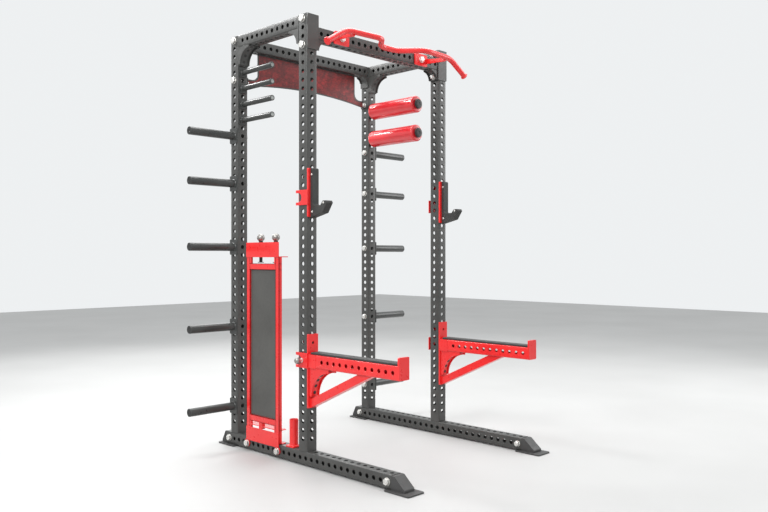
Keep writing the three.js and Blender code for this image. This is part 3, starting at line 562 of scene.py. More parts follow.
# ---- uprights ----
PLUG_TOP, PLUG_BOTTOM = 0.0015, 0.012  # below the tube's end
STATIONS = sorted(hole_z(k) for k in range(UPRIGHT_HOLES))
for side, sign in SIDES:
    x = sign * SIDE_X
    for end, y in (("front", FRONT_Y), ("rear", REAR_Y)):
        node = f"upright_{end}_{side}"
        lo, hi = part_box(node)
        bm = bmesh.new()
        perforated(bm, "z", (x, y), lo.z, hi.z, STATIONS)
        piece(f"{node}_tube", bm, CHARCOAL, node, bevel=0)
        bm = bmesh.new()
        inset = HALF - WALL - 2 * GAP
        prism(bm, "z", rectangle(span(x, inset), span(y, inset), 0.003), hi.z - PLUG_BOTTOM, hi.z - PLUG_TOP)
        piece(f"{node}_plug", bm, BLACK)

# ---- base rails ----
RAIL_HOLES = range(-1, 28)  # counted forward from the rear upright
for side, sign in SIDES:
    node = f"base_rail_{side}"
    lo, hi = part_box(node)
    centre = ((lo.x + hi.x) / 2, (lo.z + hi.z) / 2)
    bm = bmesh.new()
    perforated(bm, "y", centre, lo.y, hi.y, sorted(REAR_Y - PITCH * n for n in RAIL_HOLES))
    piece(f"{node}_tube", bm, CHARCOAL, node, bevel=0)

# ---- feet ----
FRONT_FOOT, REAR_FOOT = (0.174, 0.092), (0.164, 0.042)  # length of the plate, reach of the nose
FOOT_PLATE = 0.008
NOSE_BASE, NOSE_TIP, NOSE_TOP, NOSE_LIFT = 0.006, 0.022, 0.0775, 0.004
FLANK_START, FLANK_END, FLANK_LOW, FLANK_RISE, FLANK_OUT = 0.010, 0.018, 0.020, 0.006, 0.0012


def foot(name, sign, forward):
    """Ground plate, sloping nose and a raised panel on each flank. forward is -1 at the front."""
    lo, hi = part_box(name)
    rail_lo, rail_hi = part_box(f"base_rail_{name.split('_')[-1]}")
    x = sign * SIDE_X
    length, nose = FRONT_FOOT if forward < 0 else REAR_FOOT
    end = rail_lo.y if forward < 0 else rail_hi.y
    plate = (lo.y, lo.y + length) if forward < 0 else (hi.y - length, hi.y)
    bm = bmesh.new()
    prism(bm, "z", rectangle((lo.x, hi.x), plate, 0.012), 0, FOOT_PLATE)
    outline = [(end, NOSE_BASE), (end, NOSE_TOP + NOSE_LIFT),
               (end + forward * nose * 0.24, NOSE_TOP + NOSE_LIFT),
               (end + forward * nose, NOSE_TIP), (end + forward * nose, NOSE_BASE)]
    prism(bm, "x", rounded(outline, 0.004), *span(x, HALF))
    for flank in (-1, 1):
        face = x + flank * HALF
        start, stop = end + forward * FLANK_START, end + forward * (nose - FLANK_END)
        high = NOSE_TOP - 2 * NOSE_LIFT
        panel = [(start, FLANK_LOW), (start, high), (end + forward * nose * 0.26, high),
                 (stop, FLANK_LOW + FLANK_RISE), (stop, FLANK_LOW)]
        prism(bm, "x", rounded(panel, 0.004), face, face + flank * FLANK_OUT)
    piece(f"{name}_casting", bm, CAST, name, bevel=0.002)


for side, sign in SIDES:
    foot(f"foot_front_{side}", sign, -1)
    foot(f"foot_rear_{side}", sign, 1)
    for end in ("front", "rear"):
        name = f"foot_bolt_{end}_{side}"
        centre = (mid(name).y, mid(f"base_rail_{side}").z)
        bm = bmesh.new()
        bolt(bm, "x", centre, sign * OUTER, sign, washer=0.021)
        nut(bm, "x", centre, sign * INSIDE, -sign, stub=0.002)
        rod(bm, "x", centre, sign * INSIDE, sign * OUTER, SHANK, 20)
        piece(f"{name}_set", bm, ZINC, name, bevel=FINE)

# ---- gussets, rails and crossmembers ----
END_PLATE = 0.008  # thickness of the plates at the ends of rails and crossmembers
LAPPED = 0.007  # a gusset starts just inside the end plate's face
SINK = 0.0005  # how far a welded piece reaches into its neighbour
WEB = 0.004  # thickness of a gusset's sheets
SET_BACK = 0.009  # from the webs' free edge to the curved sheet
FRONT_GUSSET, REAR_GUSSET, RAIL_BLUNT = 0.085, 0.108, 0.014
CROSS_BLUNT = 0.010
DIMPLE_EDGE, DIMPLE, DIMPLE_RISE = 0.012, 0.0045, 0.0008


def box_gusset(bm, axis, corner, size, du, dv, across, blunt):
    """Two side webs with blunt ends, and a curved sheet between them."""
    centre = (corner[0] + du * size, corner[1] + dv * size)
    web = [corner, (centre[0], corner[1]), *quarter_arc(centre, size - blunt, du, dv),
           (corner[0], centre[1])]
    for t in (across[0], across[1] - WEB):
        prism(bm, axis, web, t, t + WEB)
    inner = size - blunt + SET_BACK
    back = [(centre[0] - du * min((inner + WEB) * sin(g), size),
             centre[1] - dv * min((inner + WEB) * cos(g), size)) for g in quarter(14)]
    prism(bm, axis, quarter_arc(centre, inner, du, dv) + back[::-1],
          across[0] + WEB - SINK, across[1] - WEB + SINK)


def gusset_hole_shade(bm, axis, corner, size, du, dv, middle, blunt, count=4, radius=0.009):
    """Black discs along the curved sheet where it is drilled: painted shade standing in for the dark inside
    of each hole.
    """
    centre = (corner[0] + du * size, corner[1] + dv * size)
    face = size - blunt + SET_BACK - SKIN
    for i in range(count):
        g = pi / 2 * (i + 0.5) / count
        place = at(axis, centre[0] - du * face * sin(g), centre[1] - dv * face * cos(g), middle)
        disc = bmesh.new()
        lathe(disc, "z", (0, 0), [(-0.001, 0), (-0.001, radius), (0.0006, radius), (0.0006, 0)], 20)
        aim(disc, place, at(axis, du * sin(g), dv * cos(g), 0))
        scrap = bpy.data.meshes.new("disc")
        disc.to_mesh(scrap)
        disc.free()
        bm.from_mesh(scrap)
        bpy.data.meshes.remove(scrap)


def gusset_dimples(bm, axis, corner, radius, du, dv, t, out, shift):
    """The row of small dimples along a gusset's hollow edge."""
    size, reach = radius + shift, radius + DIMPLE_EDGE
    for g in quarter(6)[1:-1]:
        u = corner[0] + du * size - du * reach * sin(g)
        v = corner[1] + dv * size - dv * reach * cos(g)
        rod(bm, axis, (u, v), t, t + out * DIMPLE_RISE, DIMPLE, 14, edge=0.0003)


for side, sign in SIDES:
    node = f"top_side_rail_{side}"
    lo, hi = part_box(node)
    x, z = sign * SIDE_X, TOP - HALF
    middle = (FRONT_Y + REAR_Y) / 2
    bm = bmesh.new()
    perforated(bm, "y", (x, z), lo.y + END_PLATE, hi.y - END_PLATE,
               [middle + PITCH * n for n in range(-5, 6)])
    piece(f"{node}_tube", bm, CHARCOAL, node, bevel=0)
    webs = span(x, HALF - SKIN)
    # the second mesh holds black discs at the gusset holes: painted shade for the dark inside of the holes
    sheets, hole_shade_discs = bmesh.new(), bmesh.new()
    for y, du, size in ((lo.y, 1, FRONT_GUSSET), (hi.y, -1, REAR_GUSSET)):
        low = z - HALF - size - 0.006
        prism(sheets, "y", rectangle(span(x, HALF), (low, TOP - SKIN), 0.004), y, y + du * END_PLATE)
        corner = (y + du * LAPPED, z - HALF + SINK)
        box_gusset(sheets, "x", corner, size, du, -1, webs, RAIL_BLUNT)
        gusset_hole_shade(hole_shade_discs, "x", corner, size, du, -1, x, RAIL_BLUNT)
        for t, out in zip(webs, (-0.4, 0.4)):
            gusset_dimples(sheets, "x", (corner[0], z - HALF), size - RAIL_BLUNT, du, -1, t, out, RAIL_BLUNT)
    piece(f"{node}_gussets", sheets, CHARCOAL)
    piece(f"{node}_gusset_hole_shade", hole_shade_discs, BLACK, bevel=0)


def crossmember(node, y, z, bolts_at, gusset, wrap=0.0):
    """Tube, end plates with gussets, and where wrap is given a plate of that thickness in front."""
    reach = INNER - END_PLATE
    holes = int((reach - 0.02) / PITCH)
    bm = bmesh.new()
    perforated(bm, "x", (y, z), -reach, reach, [PITCH * n for n in range(-holes, holes + 1)])
    piece(f"{node}_tube", bm, CHARCOAL, node, bevel=0)
    height = (hole_z(bolts_at[1]) - PITCH / 2, min(hole_z(bolts_at[0]) + PITCH / 2, TOP))
    spare = [(y, hole_z(k), HOLE) for k in range(bolts_at[0] + 1, bolts_at[1])
             if abs(hole_z(k) - z) > HALF]
    bm = bmesh.new()
    for sign in (-1, 1):
        end, seat = sign * INNER, sign * (INNER - END_PLATE)
        prism(bm, "x", rectangle(span(y, HALF - SKIN), height, 0.005), seat, end, spare)
        box_gusset(bm, "y", (end - sign * LAPPED, z - HALF + SINK), gusset, -sign, -1,
                   span(y, HALF - 2 * SKIN), CROSS_BLUNT)
        if wrap:
            face = y - HALF - GAP
            prism(bm, "y", rectangle(sorted((seat, sign * OUTER)), height, 0.004), face - wrap, face)
            block(bm, (seat, end), (face - 0.001, y - HALF + 0.002), height)
    piece(f"{node}_ends", bm, CHARCOAL)


crossmember("front_crossmember", FRONT_Y, CROSS_Z, (0, 3), 0.062, wrap=0.006)
crossmember("rear_crossmember", REAR_Y, TOP - HALF, (0, 2), 0.040)

# ---- main bolts: heads outside, nuts inside ----
EAR_THICK = 0.005  # of the nameplate's ears
for side, sign in SIDES:
    for end, y, holes in (("front", FRONT_Y, (0, 3)), ("rear", REAR_Y, (0, EAR_HOLE))):
        for k in holes:
            centre = (y, hole_z(k))
            plate = EAR_THICK if k == EAR_HOLE else END_PLATE
            bm = bmesh.new()
            bolt(bm, "x", centre, sign * OUTER, sign, washer=0.0215, across=0.036, height=0.014)
            nut(bm, "x", centre, sign * (INNER - plate), -sign)
            rod(bm, "x", centre, sign * (INNER - END_PLATE), sign * OUTER, SHANK, 16)
            piece(f"corner_bolt_{end}_{side}_{k}", bm, ZINC, bevel=FINE)

# ---- nameplate ----
EAR_HALF, SIGN_HALF, SIGN_CUT, SIGN_ARCH = 0.026, 0.430, 0.045, 0.042
SIGN_THICK, SIGN_MARGIN = 0.005, 0.009


def sign_outline(margin):
    """The arched plate with an ear at each end, its edges moved in by margin."""
    ear, ear_half = hole_z(EAR_HOLE), EAR_HALF - margin
    shoulder, top = ear + ear_half, TOP - TUBE - GAP - margin
    reach, half = INNER - margin * 3, SIGN_HALF - margin
    points = [(-reach + 2 * reach * t, ear - ear_half + 4 * SIGN_ARCH * t * (1 - t))
              for t in (i / 24 for i in range(25))]
    notch = quarter_arc((half + SIGN_CUT, shoulder + SIGN_CUT), SIGN_CUT, 1, 1, 10)
    points += [(reach, shoulder), *notch, (half, top), (-half, top)]
    return points + [(-u, v) for u, v in notch[::-1]] + [(-reach, shoulder)]


front_face, rear_face = span(mid("nameplate").y, SIGN_THICK / 2)
bm = bmesh.new()
prism(bm, "y", sign_outline(0), front_face, rear_face)
for sign in (-1, 1):
    prism(bm, "x", rectangle(span(REAR_Y, HALF - 0.001), span(hole_z(EAR_HOLE), EAR_HALF), 0.006),
          sign * INNER, sign * (INNER - EAR_THICK))
piece("nameplate_plate", bm, CHARCOAL, "nameplate", bevel=0.0006)
for name, face, out in (("front", front_face, -SKIN), ("rear", rear_face, SKIN)):
    bm = bmesh.new()
    prism(bm, "y", sign_outline(SIGN_MARGIN), face, face + out)
    piece(f"nameplate_face_{name}", bm, SIGN, bevel=0)

# ---- pull-up bar ----
BAR_LINE = [(0.072, -0.055, 0), (0.190, -0.185, 0), (0.454, -0.165, 0), (0.600, -0.165, -0.090)]
BAR_BEND, BAR_RADIUS = 0.045, 0.017
CAP_PROFILE = [(-0.006, 0), (-0.006, 0.0168), (-0.004, 0.0205), (-0.001, 0.023), (0.003, 0.023),
               (0.0046, 0.0218), (0.005, 0.019), (0.005, 0)]
UP_FACE = FRONT_Y - HALF  # front face of the front uprights and crossmember
corners = [Vector((-x, UP_FACE + y, CROSS_Z + z)) for x, y, z in reversed(BAR_LINE)]
corners += [Vector((x, UP_FACE + y, CROSS_Z + z)) for x, y, z in BAR_LINE]
line = [corners[0]]
for before, corner, after in zip(corners, corners[1:], corners[2:]):
    line += bend(corner + (before - corner).normalized() * BAR_BEND, corner,
                 corner + (after - corner).normalized() * BAR_BEND, 12)
line.append(corners[-1])
bm = bmesh.new()
sweep(bm, line, BAR_RADIUS, 36)
piece("pull_up_bar_tube", bm, GRIP, "pull_up_bar", bevel=0.001, smooth=40)
for side, tip, before in (("left", corners[0], corners[1]), ("right", corners[-1], corners[-2])):
    bm = bmesh.new()
    lathe(bm, "z", (0, 0), CAP_PROFILE, 36)
    aim(bm, tip, (tip - before).normalized())
    piece(f"pull_up_bar_cap_{side}", bm, RED, bevel=0.0006)

# ---- pull-up brackets: a plate, and one arm that carries the bar from below ----
BRACKET_PLATE, BRACKET_HALF = 0.010, 0.038
BRACKET_ARM, BRACKET_ARM_HALF = 0.006, 0.0059  # arm's middle from the plate's edge, half its thickness
for side, sign in SIDES:
    node = f"pull_up_bracket_{side}"
    lo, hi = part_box(node)
    arm_x = (lo.x if sign < 0 else hi.x) - sign * BRACKET_ARM
    (near_x, near_y, _), (far_x, far_y, _) = BAR_LINE[1:3]
    share = (abs(arm_x) - near_x) / (far_x - near_x)
    bar_y = UP_FACE + near_y + share * (far_y - near_y)
    back = UP_FACE - GAP
    bm = bmesh.new()
    prism(bm, "y", rectangle((lo.x, hi.x), span(CROSS_Z, BRACKET_HALF), 0.010), back - BRACKET_PLATE, back)
    outline = [(back - 0.008, -0.018), (back - 0.008, 0.013), (bar_y + 0.034, -0.003),
               (bar_y + 0.016, -0.0142), (bar_y - 0.004, -0.0175), (bar_y - 0.004, -0.0255),
               (bar_y + 0.006, -0.0268)]
    prism(bm, "x", rounded([(y, CROSS_Z + z) for y, z in outline], 0.005), *span(arm_x, BRACKET_ARM_HALF))
    piece(f"{node}_weldment", bm, RED, node, bevel=0.0016)
    centre = ((lo.x + hi.x) / 2, CROSS_Z)
    bm = bmesh.new()
    bolt(bm, "y", centre, back - BRACKET_PLATE, -1)
    nut(bm, "y", centre, FRONT_Y + HALF, 1)
    piece(f"{node}_bolt", bm, ZINC, bevel=FINE)

# ---- pegs ----
WEIGHT_FLANGE, STORAGE_FLANGE = (0.074, 0.096, 0.008), (0.060, 0.060, 0.006)  # width, height, thickness


def peg(node, axis, radius, start, end, centre, flange, cap):
    """Flange plate, weld bead and a tube with an inset end cap."""
    direction = 1 if end > start else -1
    width, height, thick = flange
    foot_at = start + direction * thick
    bm = bmesh.new()
    flat = rectangle(span(centre[0], width / 2), span(centre[1], height / 2), 0.008)
    prism(bm, axis, flat, start, foot_at)
    lathe(bm, axis, centre, [
        (foot_at - direction * 0.002, 0), (foot_at, radius + 0.0035), (foot_at + direction * 0.0035, radius),
        (end - direction * 0.002, radius), (end - direction * 0.0006, radius - 0.0006),
        (end, radius - 0.002), (end, radius - 0.0045), (end - direction * 0.003, radius - 0.005),
        (end - direction * 0.003, 0)], 44)
    piece(f"{node}_tube", bm, PEG, node, smooth=40)
    bm = bmesh.new()
    lathe(bm, axis, centre, [
        (end - direction * 0.006, 0), (end - direction * 0.006, radius - 0.0052),
        (end - direction * 0.0016, radius - 0.0052), (end - direction * 0.0010, radius - 0.0062),
        (end - direction * 0.0010, radius * 0.42), (end - direction * 0.0024, radius * 0.36),
        (end - direction * 0.0024, 0)], 40)
    piece(f"{node}_cap", bm, cap, bevel=0)


for side, sign in SIDES:
    for i, k in enumerate(WEIGHT_PEG_HOLES):
        node = f"weight_peg_{side}_{i + 1}"
        lo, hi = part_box(node)
        centre = (REAR_Y, hole_z(k))
        peg(node, "x", 0.025, sign * (OUTER + GAP), lo.x if sign < 0 else hi.x, centre, WEIGHT_FLANGE, BLACK)
        bm = bmesh.new()
        nut(bm, "x", centre, sign * INSIDE, -sign, stub=-0.004)
        piece(f"{node}_nut", bm, ZINC, bevel=FINE)
for i, k in enumerate(STORAGE_PEG_HOLES):
    node = f"storage_peg_{i + 1}"
    peg(node, "y", 0.017, REAR_Y - HALF - GAP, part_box(node)[0].y, (-SIDE_X, hole_z(k)), STORAGE_FLANGE,
        PEG_RING)

# ---- foam rollers ----
AXLE_PLATE, AXLE_RADIUS, ROLLER_BORE = 0.008, 0.019, 0.0205
ROLLER_EDGE, ROLLER_BULGE = 0.012, 0.011  # radius of the foam's end, and how far it bulges along it
for which, k in (("upper", 6), ("lower", 10)):
    axle, roller, cap = (f"{n}_{which}" for n in ("roller_axle", "foam_roller", "roller_cap"))
    centre = (SIDE_X, hole_z(k))
    start = REAR_Y - HALF - GAP
    bm = bmesh.new()
    prism(bm, "y", rectangle(span(SIDE_X, 0.037), span(centre[1], 0.045), 0.008), start, start - AXLE_PLATE)
    rod(bm, "y", centre, start - AXLE_PLATE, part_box(axle)[0].y, AXLE_RADIUS, 40)
    piece(f"{axle}_bar", bm, CHARCOAL, axle)
    lo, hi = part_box(roller)
    r = (hi.z - lo.z) / 2
    near, far = hi.y - ROLLER_EDGE, lo.y + ROLLER_EDGE
    length = hi.y - lo.y - 2 * ROLLER_EDGE
    ends = [(ROLLER_BULGE * cos(g), r - ROLLER_EDGE + ROLLER_EDGE * sin(g)) for g in quarter(8)]
    profile = [(hi.y, ROLLER_BORE), (hi.y - 0.001, r * 0.55)]
    profile += [(near + bulge, radius) for bulge, radius in ends]
    for t in (i / 24 for i in range(1, 24)):
        profile.append((near - length * t, r - 0.0005 * sin(pi * t) ** 2
                        - 0.0003 * sin(9 * pi * t) ** 2))
    profile += [(far - bulge, radius) for bulge, radius in ends[::-1]]
    profile += [(lo.y + 0.001, r * 0.55), (lo.y, ROLLER_BORE), (hi.y, ROLLER_BORE)]
    bm = bmesh.new()
    lathe(bm, "y", centre, profile, 72)
    made = piece(f"{roller}_sleeve", bm, FOAM, roller, roller, bevel=0, smooth=60)
    lo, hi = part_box(cap)
    bm = bmesh.new()
    lathe(bm, "y", centre, [(hi.y, 0), (hi.y, 0.032), (hi.y - 0.002, 0.034), (lo.y + 0.005, 0.034),
                            (lo.y + 0.002, 0.0325), (lo.y + 0.0006, 0.029), (lo.y + 0.0006, 0.013),
                            (lo.y + 0.003, 0.011), (lo.y + 0.003, 0)], 44)
    piece(f"{cap}_moulding", bm, BLACK, cap, bevel=0)

# ---- J-cups and spotter arms ----
FORK, FORK_GAP = 0.006, 2 * GAP  # thickness of the fork's side plate, and its clearance to the upright
FORK_FACE = SIDE_X + HALF + FORK_GAP + FORK  # its outer face
FORK_REAR, FORK_MOUTH, FORK_NOTCH, FORK_HALF = 0.016, 0.050, 0.027, 0.043
PEG_RADIUS, PEG_DEPTH = 0.0118, 0.071  # hanging pegs reach nearly to the far wall


def fork(bm, sign, z, front):
    """Side plate round the outside of the upright, open to the rear, with a return behind it."""
    rear = UP_FACE + TUBE + FORK_REAR
    x_out, x_in = sign * FORK_FACE, sign * (OUTER + FORK_GAP)
    mouth = rear - FORK_MOUTH + FORK_NOTCH
    low, notch_low, notch_high, high = z - FORK_HALF, z - FORK_NOTCH, z + FORK_NOTCH, z + FORK_HALF
    outline = [(front, low), (rear, low), (rear, notch_low)]
    outline += [(mouth - FORK_NOTCH * sin(g), z - FORK_NOTCH * cos(g))
                for g in (pi * i / 16 for i in range(17))]
    outline += [(rear, notch_high), (rear, high), (front, high)]
    prism(bm, "x", outline, *sorted((x_out, x_in)))
    skinned = x_out - sign * SKIN
    behind = (rear - FORK, rear - SKIN)
    for bottom, top in ((low, notch_low), (notch_high, high)):
        block(bm, (skinned, sign * (OUTER - 0.014)), behind, (bottom + SKIN, top - SKIN))
    block(bm, (sign * (OUTER - 0.0135), sign * INSIDE), behind, (low + SKIN, high - SKIN))
    block(bm, (skinned, sign * (OUTER - 0.004)), (front + SKIN, UP_FACE - GAP), (low + SKIN, high - SKIN))


def screw(bm, axis, centre, face, direction, radius=0.0065):
    """A small button-head screw."""
    lathe(bm, axis, centre, [(face, 0), (face, radius), (face + direction * 0.0012, radius),
                             (face + direction * 0.0030, radius * 0.72), (face + direction * 0.0032, 0.0026),
                             (face + direction * 0.0014, 0.0024), (face + direction * 0.0014, 0)], 24)


CUP_PLATE, LINER_HALF = 0.012, 0.0235
STEM, LIP_INNER, LIP_OUTER = 0.020, 0.100, 0.142  # how far each part of the liner stands forward
CUP_FLOOR, CUP_LIP, CUP_FOOT, CUP_HEAD = 0.170, 0.146, 0.238, 0.043  # below and above the peg
CUP_CURVE = 0.014
for side, sign in SIDES:
    peg_z = hole_z(CUP_HOLE)
    x = sign * SIDE_X
    body = f"j_cup_{side}"
    plate = (UP_FACE - GAP - CUP_PLATE, UP_FACE - GAP)
    bm = bmesh.new()
    prism(bm, "y", rectangle(span(x, HALF), (peg_z - 0.234, peg_z + CUP_HEAD), 0.006), *plate)
    fork(bm, sign, peg_z - 0.1225, plate[0])
    rod(bm, "y", (x, peg_z), plate[1], UP_FACE + PEG_DEPTH, PEG_RADIUS, 28, edge=0.002)
    piece(f"{body}_weldment", bm, RED, body, body, bevel=0.0014)

    back = plate[0] - GAP
    stem, lip_in, lip_out = back - STEM, back - LIP_INNER, back - LIP_OUTER
    floor_z, lip_z, foot_z, head_z = peg_z - CUP_FLOOR, peg_z - CUP_LIP, peg_z - CUP_FOOT, peg_z + CUP_HEAD
    outline = [(back, foot_z), (lip_out + 0.038, foot_z + 0.024), (lip_out, lip_z - 0.012),
               (lip_out + 0.008, lip_z), (lip_in - 0.006, lip_z), (lip_in, lip_z - 0.006),
               (lip_in + CUP_CURVE, floor_z)]
    outline += quarter_arc((stem - CUP_CURVE, floor_z + CUP_CURVE), CUP_CURVE, -1, 1, 6)
    outline += [(stem, head_z - 0.006), (stem + 0.006, head_z), (back, head_z)]
    screws = ((back - 0.012, peg_z + 0.0065), (back - 0.016, foot_z + 0.0335),
              (lip_in - 0.012, peg_z - 0.158))
    bm = bmesh.new()
    prism(bm, "x", outline, *span(x, LINER_HALF))
    liner = f"j_cup_liner_{side}"
    piece(f"{liner}_block", bm, LINER, liner, body, bevel=0.002)
    bm = bmesh.new()
    for place in screws:
        for flank in (-1, 1):
            screw(bm, "x", place, x + flank * LINER_HALF, flank)
    piece(f"{liner}_screws", bm, ZINC, body=body, bevel=0)

ARM_LENGTH, ARM_PLATE, ARM_STOP, ARM_STOP_HEIGHT = 0.700, 0.010, 0.012, 0.118
ARM_PLATE_TOP, ARM_PLATE_BOTTOM = 0.050, 0.370  # from the peg
ARM_GUSSET, ARM_BLUNT, ARM_GUSSET_HALF = 0.165, 0.022, 0.030
LAP_LENGTH, LAP_IN, LAP_OUT = 0.066, 0.005, 0.0009  # plates that lap the beam beside the upright
STRUT_REACH, STRUT_DEPTH, STRUT_HALF = 0.515, 0.045, 0.0225
BEAM_WALL, BEAM_HOLE, FIRST_BEAM_HOLE = 0.004, 0.011, 0.125
KNOB_REACH, PIN_BALL, COLLAR, PIN_NECK = 0.032, 0.0185, 0.013, 0.0105
for side, sign in SIDES:
    node, pin = f"spotter_arm_{side}", f"spotter_pin_{side}"
    x = sign * SIDE_X
    peg_z, pin_z = hole_z(ARM_PEG_HOLE), hole_z(ARM_PIN_HOLE)
    face = UP_FACE - GAP
    plate = (face - ARM_PLATE, face)
    top, bottom = pin_z + HALF, pin_z - HALF
    tip = plate[0] - ARM_LENGTH
    low = peg_z - ARM_PLATE_BOTTOM
    bm = bmesh.new()
    prism(bm, "y", rectangle(span(x, HALF), (low, peg_z + ARM_PLATE_TOP), 0.005), *plate,
          holes=[(x, peg_z, 0.0085)])
    fork(bm, sign, pin_z, plate[0])
    rod(bm, "y", (x, peg_z), face - 0.004, face + PEG_DEPTH, PEG_RADIUS, 28, edge=0.002)
    prism(bm, "y", rectangle(span(x, HALF), (bottom, bottom + ARM_STOP_HEIGHT), 0.007), tip - ARM_STOP, tip)
    for flank in (-1, 1):
        outer = x + flank * HALF
        prism(bm, "x", rectangle((plate[0] - LAP_LENGTH, plate[0]), (bottom - 0.002, top), 0.003),
              outer + flank * LAP_OUT, outer - flank * LAP_IN)
    slope = (bottom - low) / (STRUT_REACH - ARM_PLATE)
    rise = STRUT_DEPTH * hypot(1, slope)
    strut = [(plate[0] + 0.001, low), (plate[0] + 0.001, low + rise),
             (UP_FACE - STRUT_REACH + rise / slope, bottom + 0.001), (UP_FACE - STRUT_REACH, bottom + 0.001)]
    prism(bm, "x", strut, *span(x, STRUT_HALF))
    corner, webs = (plate[0] + 0.001, bottom + 0.001), span(x, ARM_GUSSET_HALF)
    box_gusset(bm, "x", corner, ARM_GUSSET, -1, -1, webs, ARM_BLUNT)
    for t, out in zip(webs, (-1, 1)):
        gusset_dimples(bm, "x", (plate[0], bottom), ARM_GUSSET - ARM_BLUNT, -1, -1, t, out, ARM_BLUNT)
    piece(f"{node}_weldment", bm, RED, node, bevel=0.0014)
    # black discs: painted shade in the gusset's holes and at the bottom of the peg hole's recess
    bm = bmesh.new()
    gusset_hole_shade(bm, "x", corner, ARM_GUSSET, -1, -1, x, ARM_BLUNT, count=6, radius=0.010)
    # black disc at the bottom of the recess round the peg: painted shade
    rod(bm, "y", (x, peg_z), face - 0.0048, face - 0.003, 0.0082, 20, edge=0.0002)
    piece(f"{node}_gusset_hole_shade", bm, BLACK, bevel=0)
    bm = bmesh.new()
    holes = sorted(UP_FACE - FIRST_BEAM_HOLE - PITCH * n for n in range(12))
    perforated(bm, "y", (x, pin_z), tip, plate[0], holes, sides=(0, 2), wall=BEAM_WALL, radius=BEAM_HOLE)
    piece(f"{node}_beam", bm, RED, bevel=0)

    pad = f"spotter_arm_pad_{side}"
    lo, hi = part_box(pad)
    bm = bmesh.new()
    prism(bm, "y", rectangle((lo.x, hi.x), (lo.z, hi.z), 0.004), lo.y, hi.y)
    piece(f"{pad}_strip", bm, LINER, pad, bevel=0.001)

    collar = sign * (FORK_FACE + GAP)
    knob_x = collar + sign * KNOB_REACH
    centre = (FRONT_Y, pin_z)
    bm = bmesh.new()
    rod(bm, "x", centre, collar - sign * 0.001, sign * (OUTER - 0.018), 0.009, 28, edge=0.0025)
    lathe(bm, "x", centre, [
        (collar, 0), (collar, COLLAR), (collar + sign * 0.004, COLLAR), (collar + sign * 0.0055, PIN_NECK),
        (collar + sign * 0.016, PIN_NECK), (collar + sign * 0.018, 0.0085), (knob_x, 0.008),
        (knob_x, 0)], 32)
    piece(f"{pin}_plunger", bm, ZINC, pin, pin, bevel=0)
    bm = bmesh.new()
    ball(bm, "x", centre, knob_x, PIN_BALL, 20, 44)
    piece(f"{pin}_ball", bm, KNOB, body=pin, bevel=0, smooth=60)

# ---- side storage panel ----
HEADER, SHEET, THIN = 0.090, 0.004, 0.003  # height of the top band, thickness of front and folded sheet
STILE, CROSS_RAIL, FOLD = 0.034, 0.038, 0.022  # width of the uprights and rails, depth of their folds
PANEL_HALF, PANEL_FOOT, SKIRT_TOP = 0.161, 0.066, 0.150
SHELF, MIDDLE_SHELF, SHELF_DEPTH, PIN_SHELF_DEPTH = 0.005, 0.164, 0.054, 0.069
TAB_START, TAB_END, DIVIDER = 0.030, 0.046, (0.004, 0.036)
PANEL_BOLT_AT, BOLT_EAR, PIN_BORE = 0.15, 0.021, 0.0106
lo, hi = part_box("panel_frame")
panel_y = (lo.y + hi.y) / 2
panel_top = hi.z
pin_shelf = panel_top - HEADER  # underside of the shelf that the ball pins stand on
back = -(OUTER + SHEET)
front = back - SHEET
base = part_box("base_rail_left")[1].z + GAP
rail_z = mid("base_rail_left").z
panel_bolts = span(panel_y, PANEL_BOLT_AT)
y0, y1 = span(panel_y, PANEL_HALF)
bm = bmesh.new()
for band in ((pin_shelf, panel_top), (PANEL_FOOT, SKIRT_TOP)):
    prism(bm, "x", rectangle((y0, y1), band, 0.003), front, back)
for y_from, y_to in ((y0, y0 + STILE), (y1 - STILE, y1)):
    prism(bm, "x", rectangle((y_from, y_to), (base, pin_shelf)), back, back + THIN)
    for y in (y_from, y_to - THIN):
        prism(bm, "x", rectangle((y, y + THIN), (base, pin_shelf)), back, back + FOLD)
upper, lower = pin_shelf - CROSS_RAIL, SKIRT_TOP + CROSS_RAIL
for z_from, z_to in ((upper - CROSS_RAIL, upper), (lower, lower + CROSS_RAIL)):
    prism(bm, "x", rectangle((y0, y1), (z_from, z_to)), back + SINK, back + SINK + THIN)
    for z in (z_from, z_to - THIN):
        prism(bm, "x", rectangle((y0, y1), (z, z + THIN)), back + SINK, back + FOLD)
# divider and fold-over tabs of the two windows
divider = (panel_y + DIVIDER[0], panel_y + DIVIDER[1])
prism(bm, "x", rectangle(divider, (SKIRT_TOP, lower)), back, back + FOLD)
for tab in ((y0 + TAB_START, y0 + TAB_END), (y1 - TAB_END, y1 - TAB_START)):
    for window in ((SKIRT_TOP, lower), (upper, pin_shelf)):
        prism(bm, "x", rectangle(tab, window), back, back + SHEET)
shelf_back = back + SHELF_DEPTH
pin_bores = [(*mid(f"ball_pin_{which}").xy, PIN_BORE) for which in ("rear", "front")]
for z, reach, bores in ((base, shelf_back, ()), (MIDDLE_SHELF, shelf_back, ()),
                        (pin_shelf, back + PIN_SHELF_DEPTH, pin_bores)):
    prism(bm, "z", rectangle((back - 0.001, reach), (y0, y1), 0.003), z, z + SHELF, bores)
for y in panel_bolts:
    rod(bm, "x", (y, rail_z), -(OUTER + GAP), front, BOLT_EAR, 40)
    prism(bm, "x", rectangle(span(y, BOLT_EAR), (rail_z, PANEL_FOOT + 0.001)), front, back)
piece("panel_frame_sheet", bm, RED, "panel_frame", bevel=0.0009)

for i, y in enumerate(panel_bolts):
    bm = bmesh.new()
    bolt(bm, "x", (y, rail_z), front, -1)
    nut(bm, "x", (y, rail_z), -INSIDE, 1, stub=-0.002)
    piece(f"panel_bolt_{i + 1}", bm, ZINC, bevel=FINE)

lo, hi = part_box("panel_insert")
bm = bmesh.new()
prism(bm, "x", rectangle((lo.y, hi.y), (lo.z, hi.z), 0.004), lo.x, hi.x)
piece("panel_insert_board", bm, BOARD, "panel_insert", bevel=0.0006)

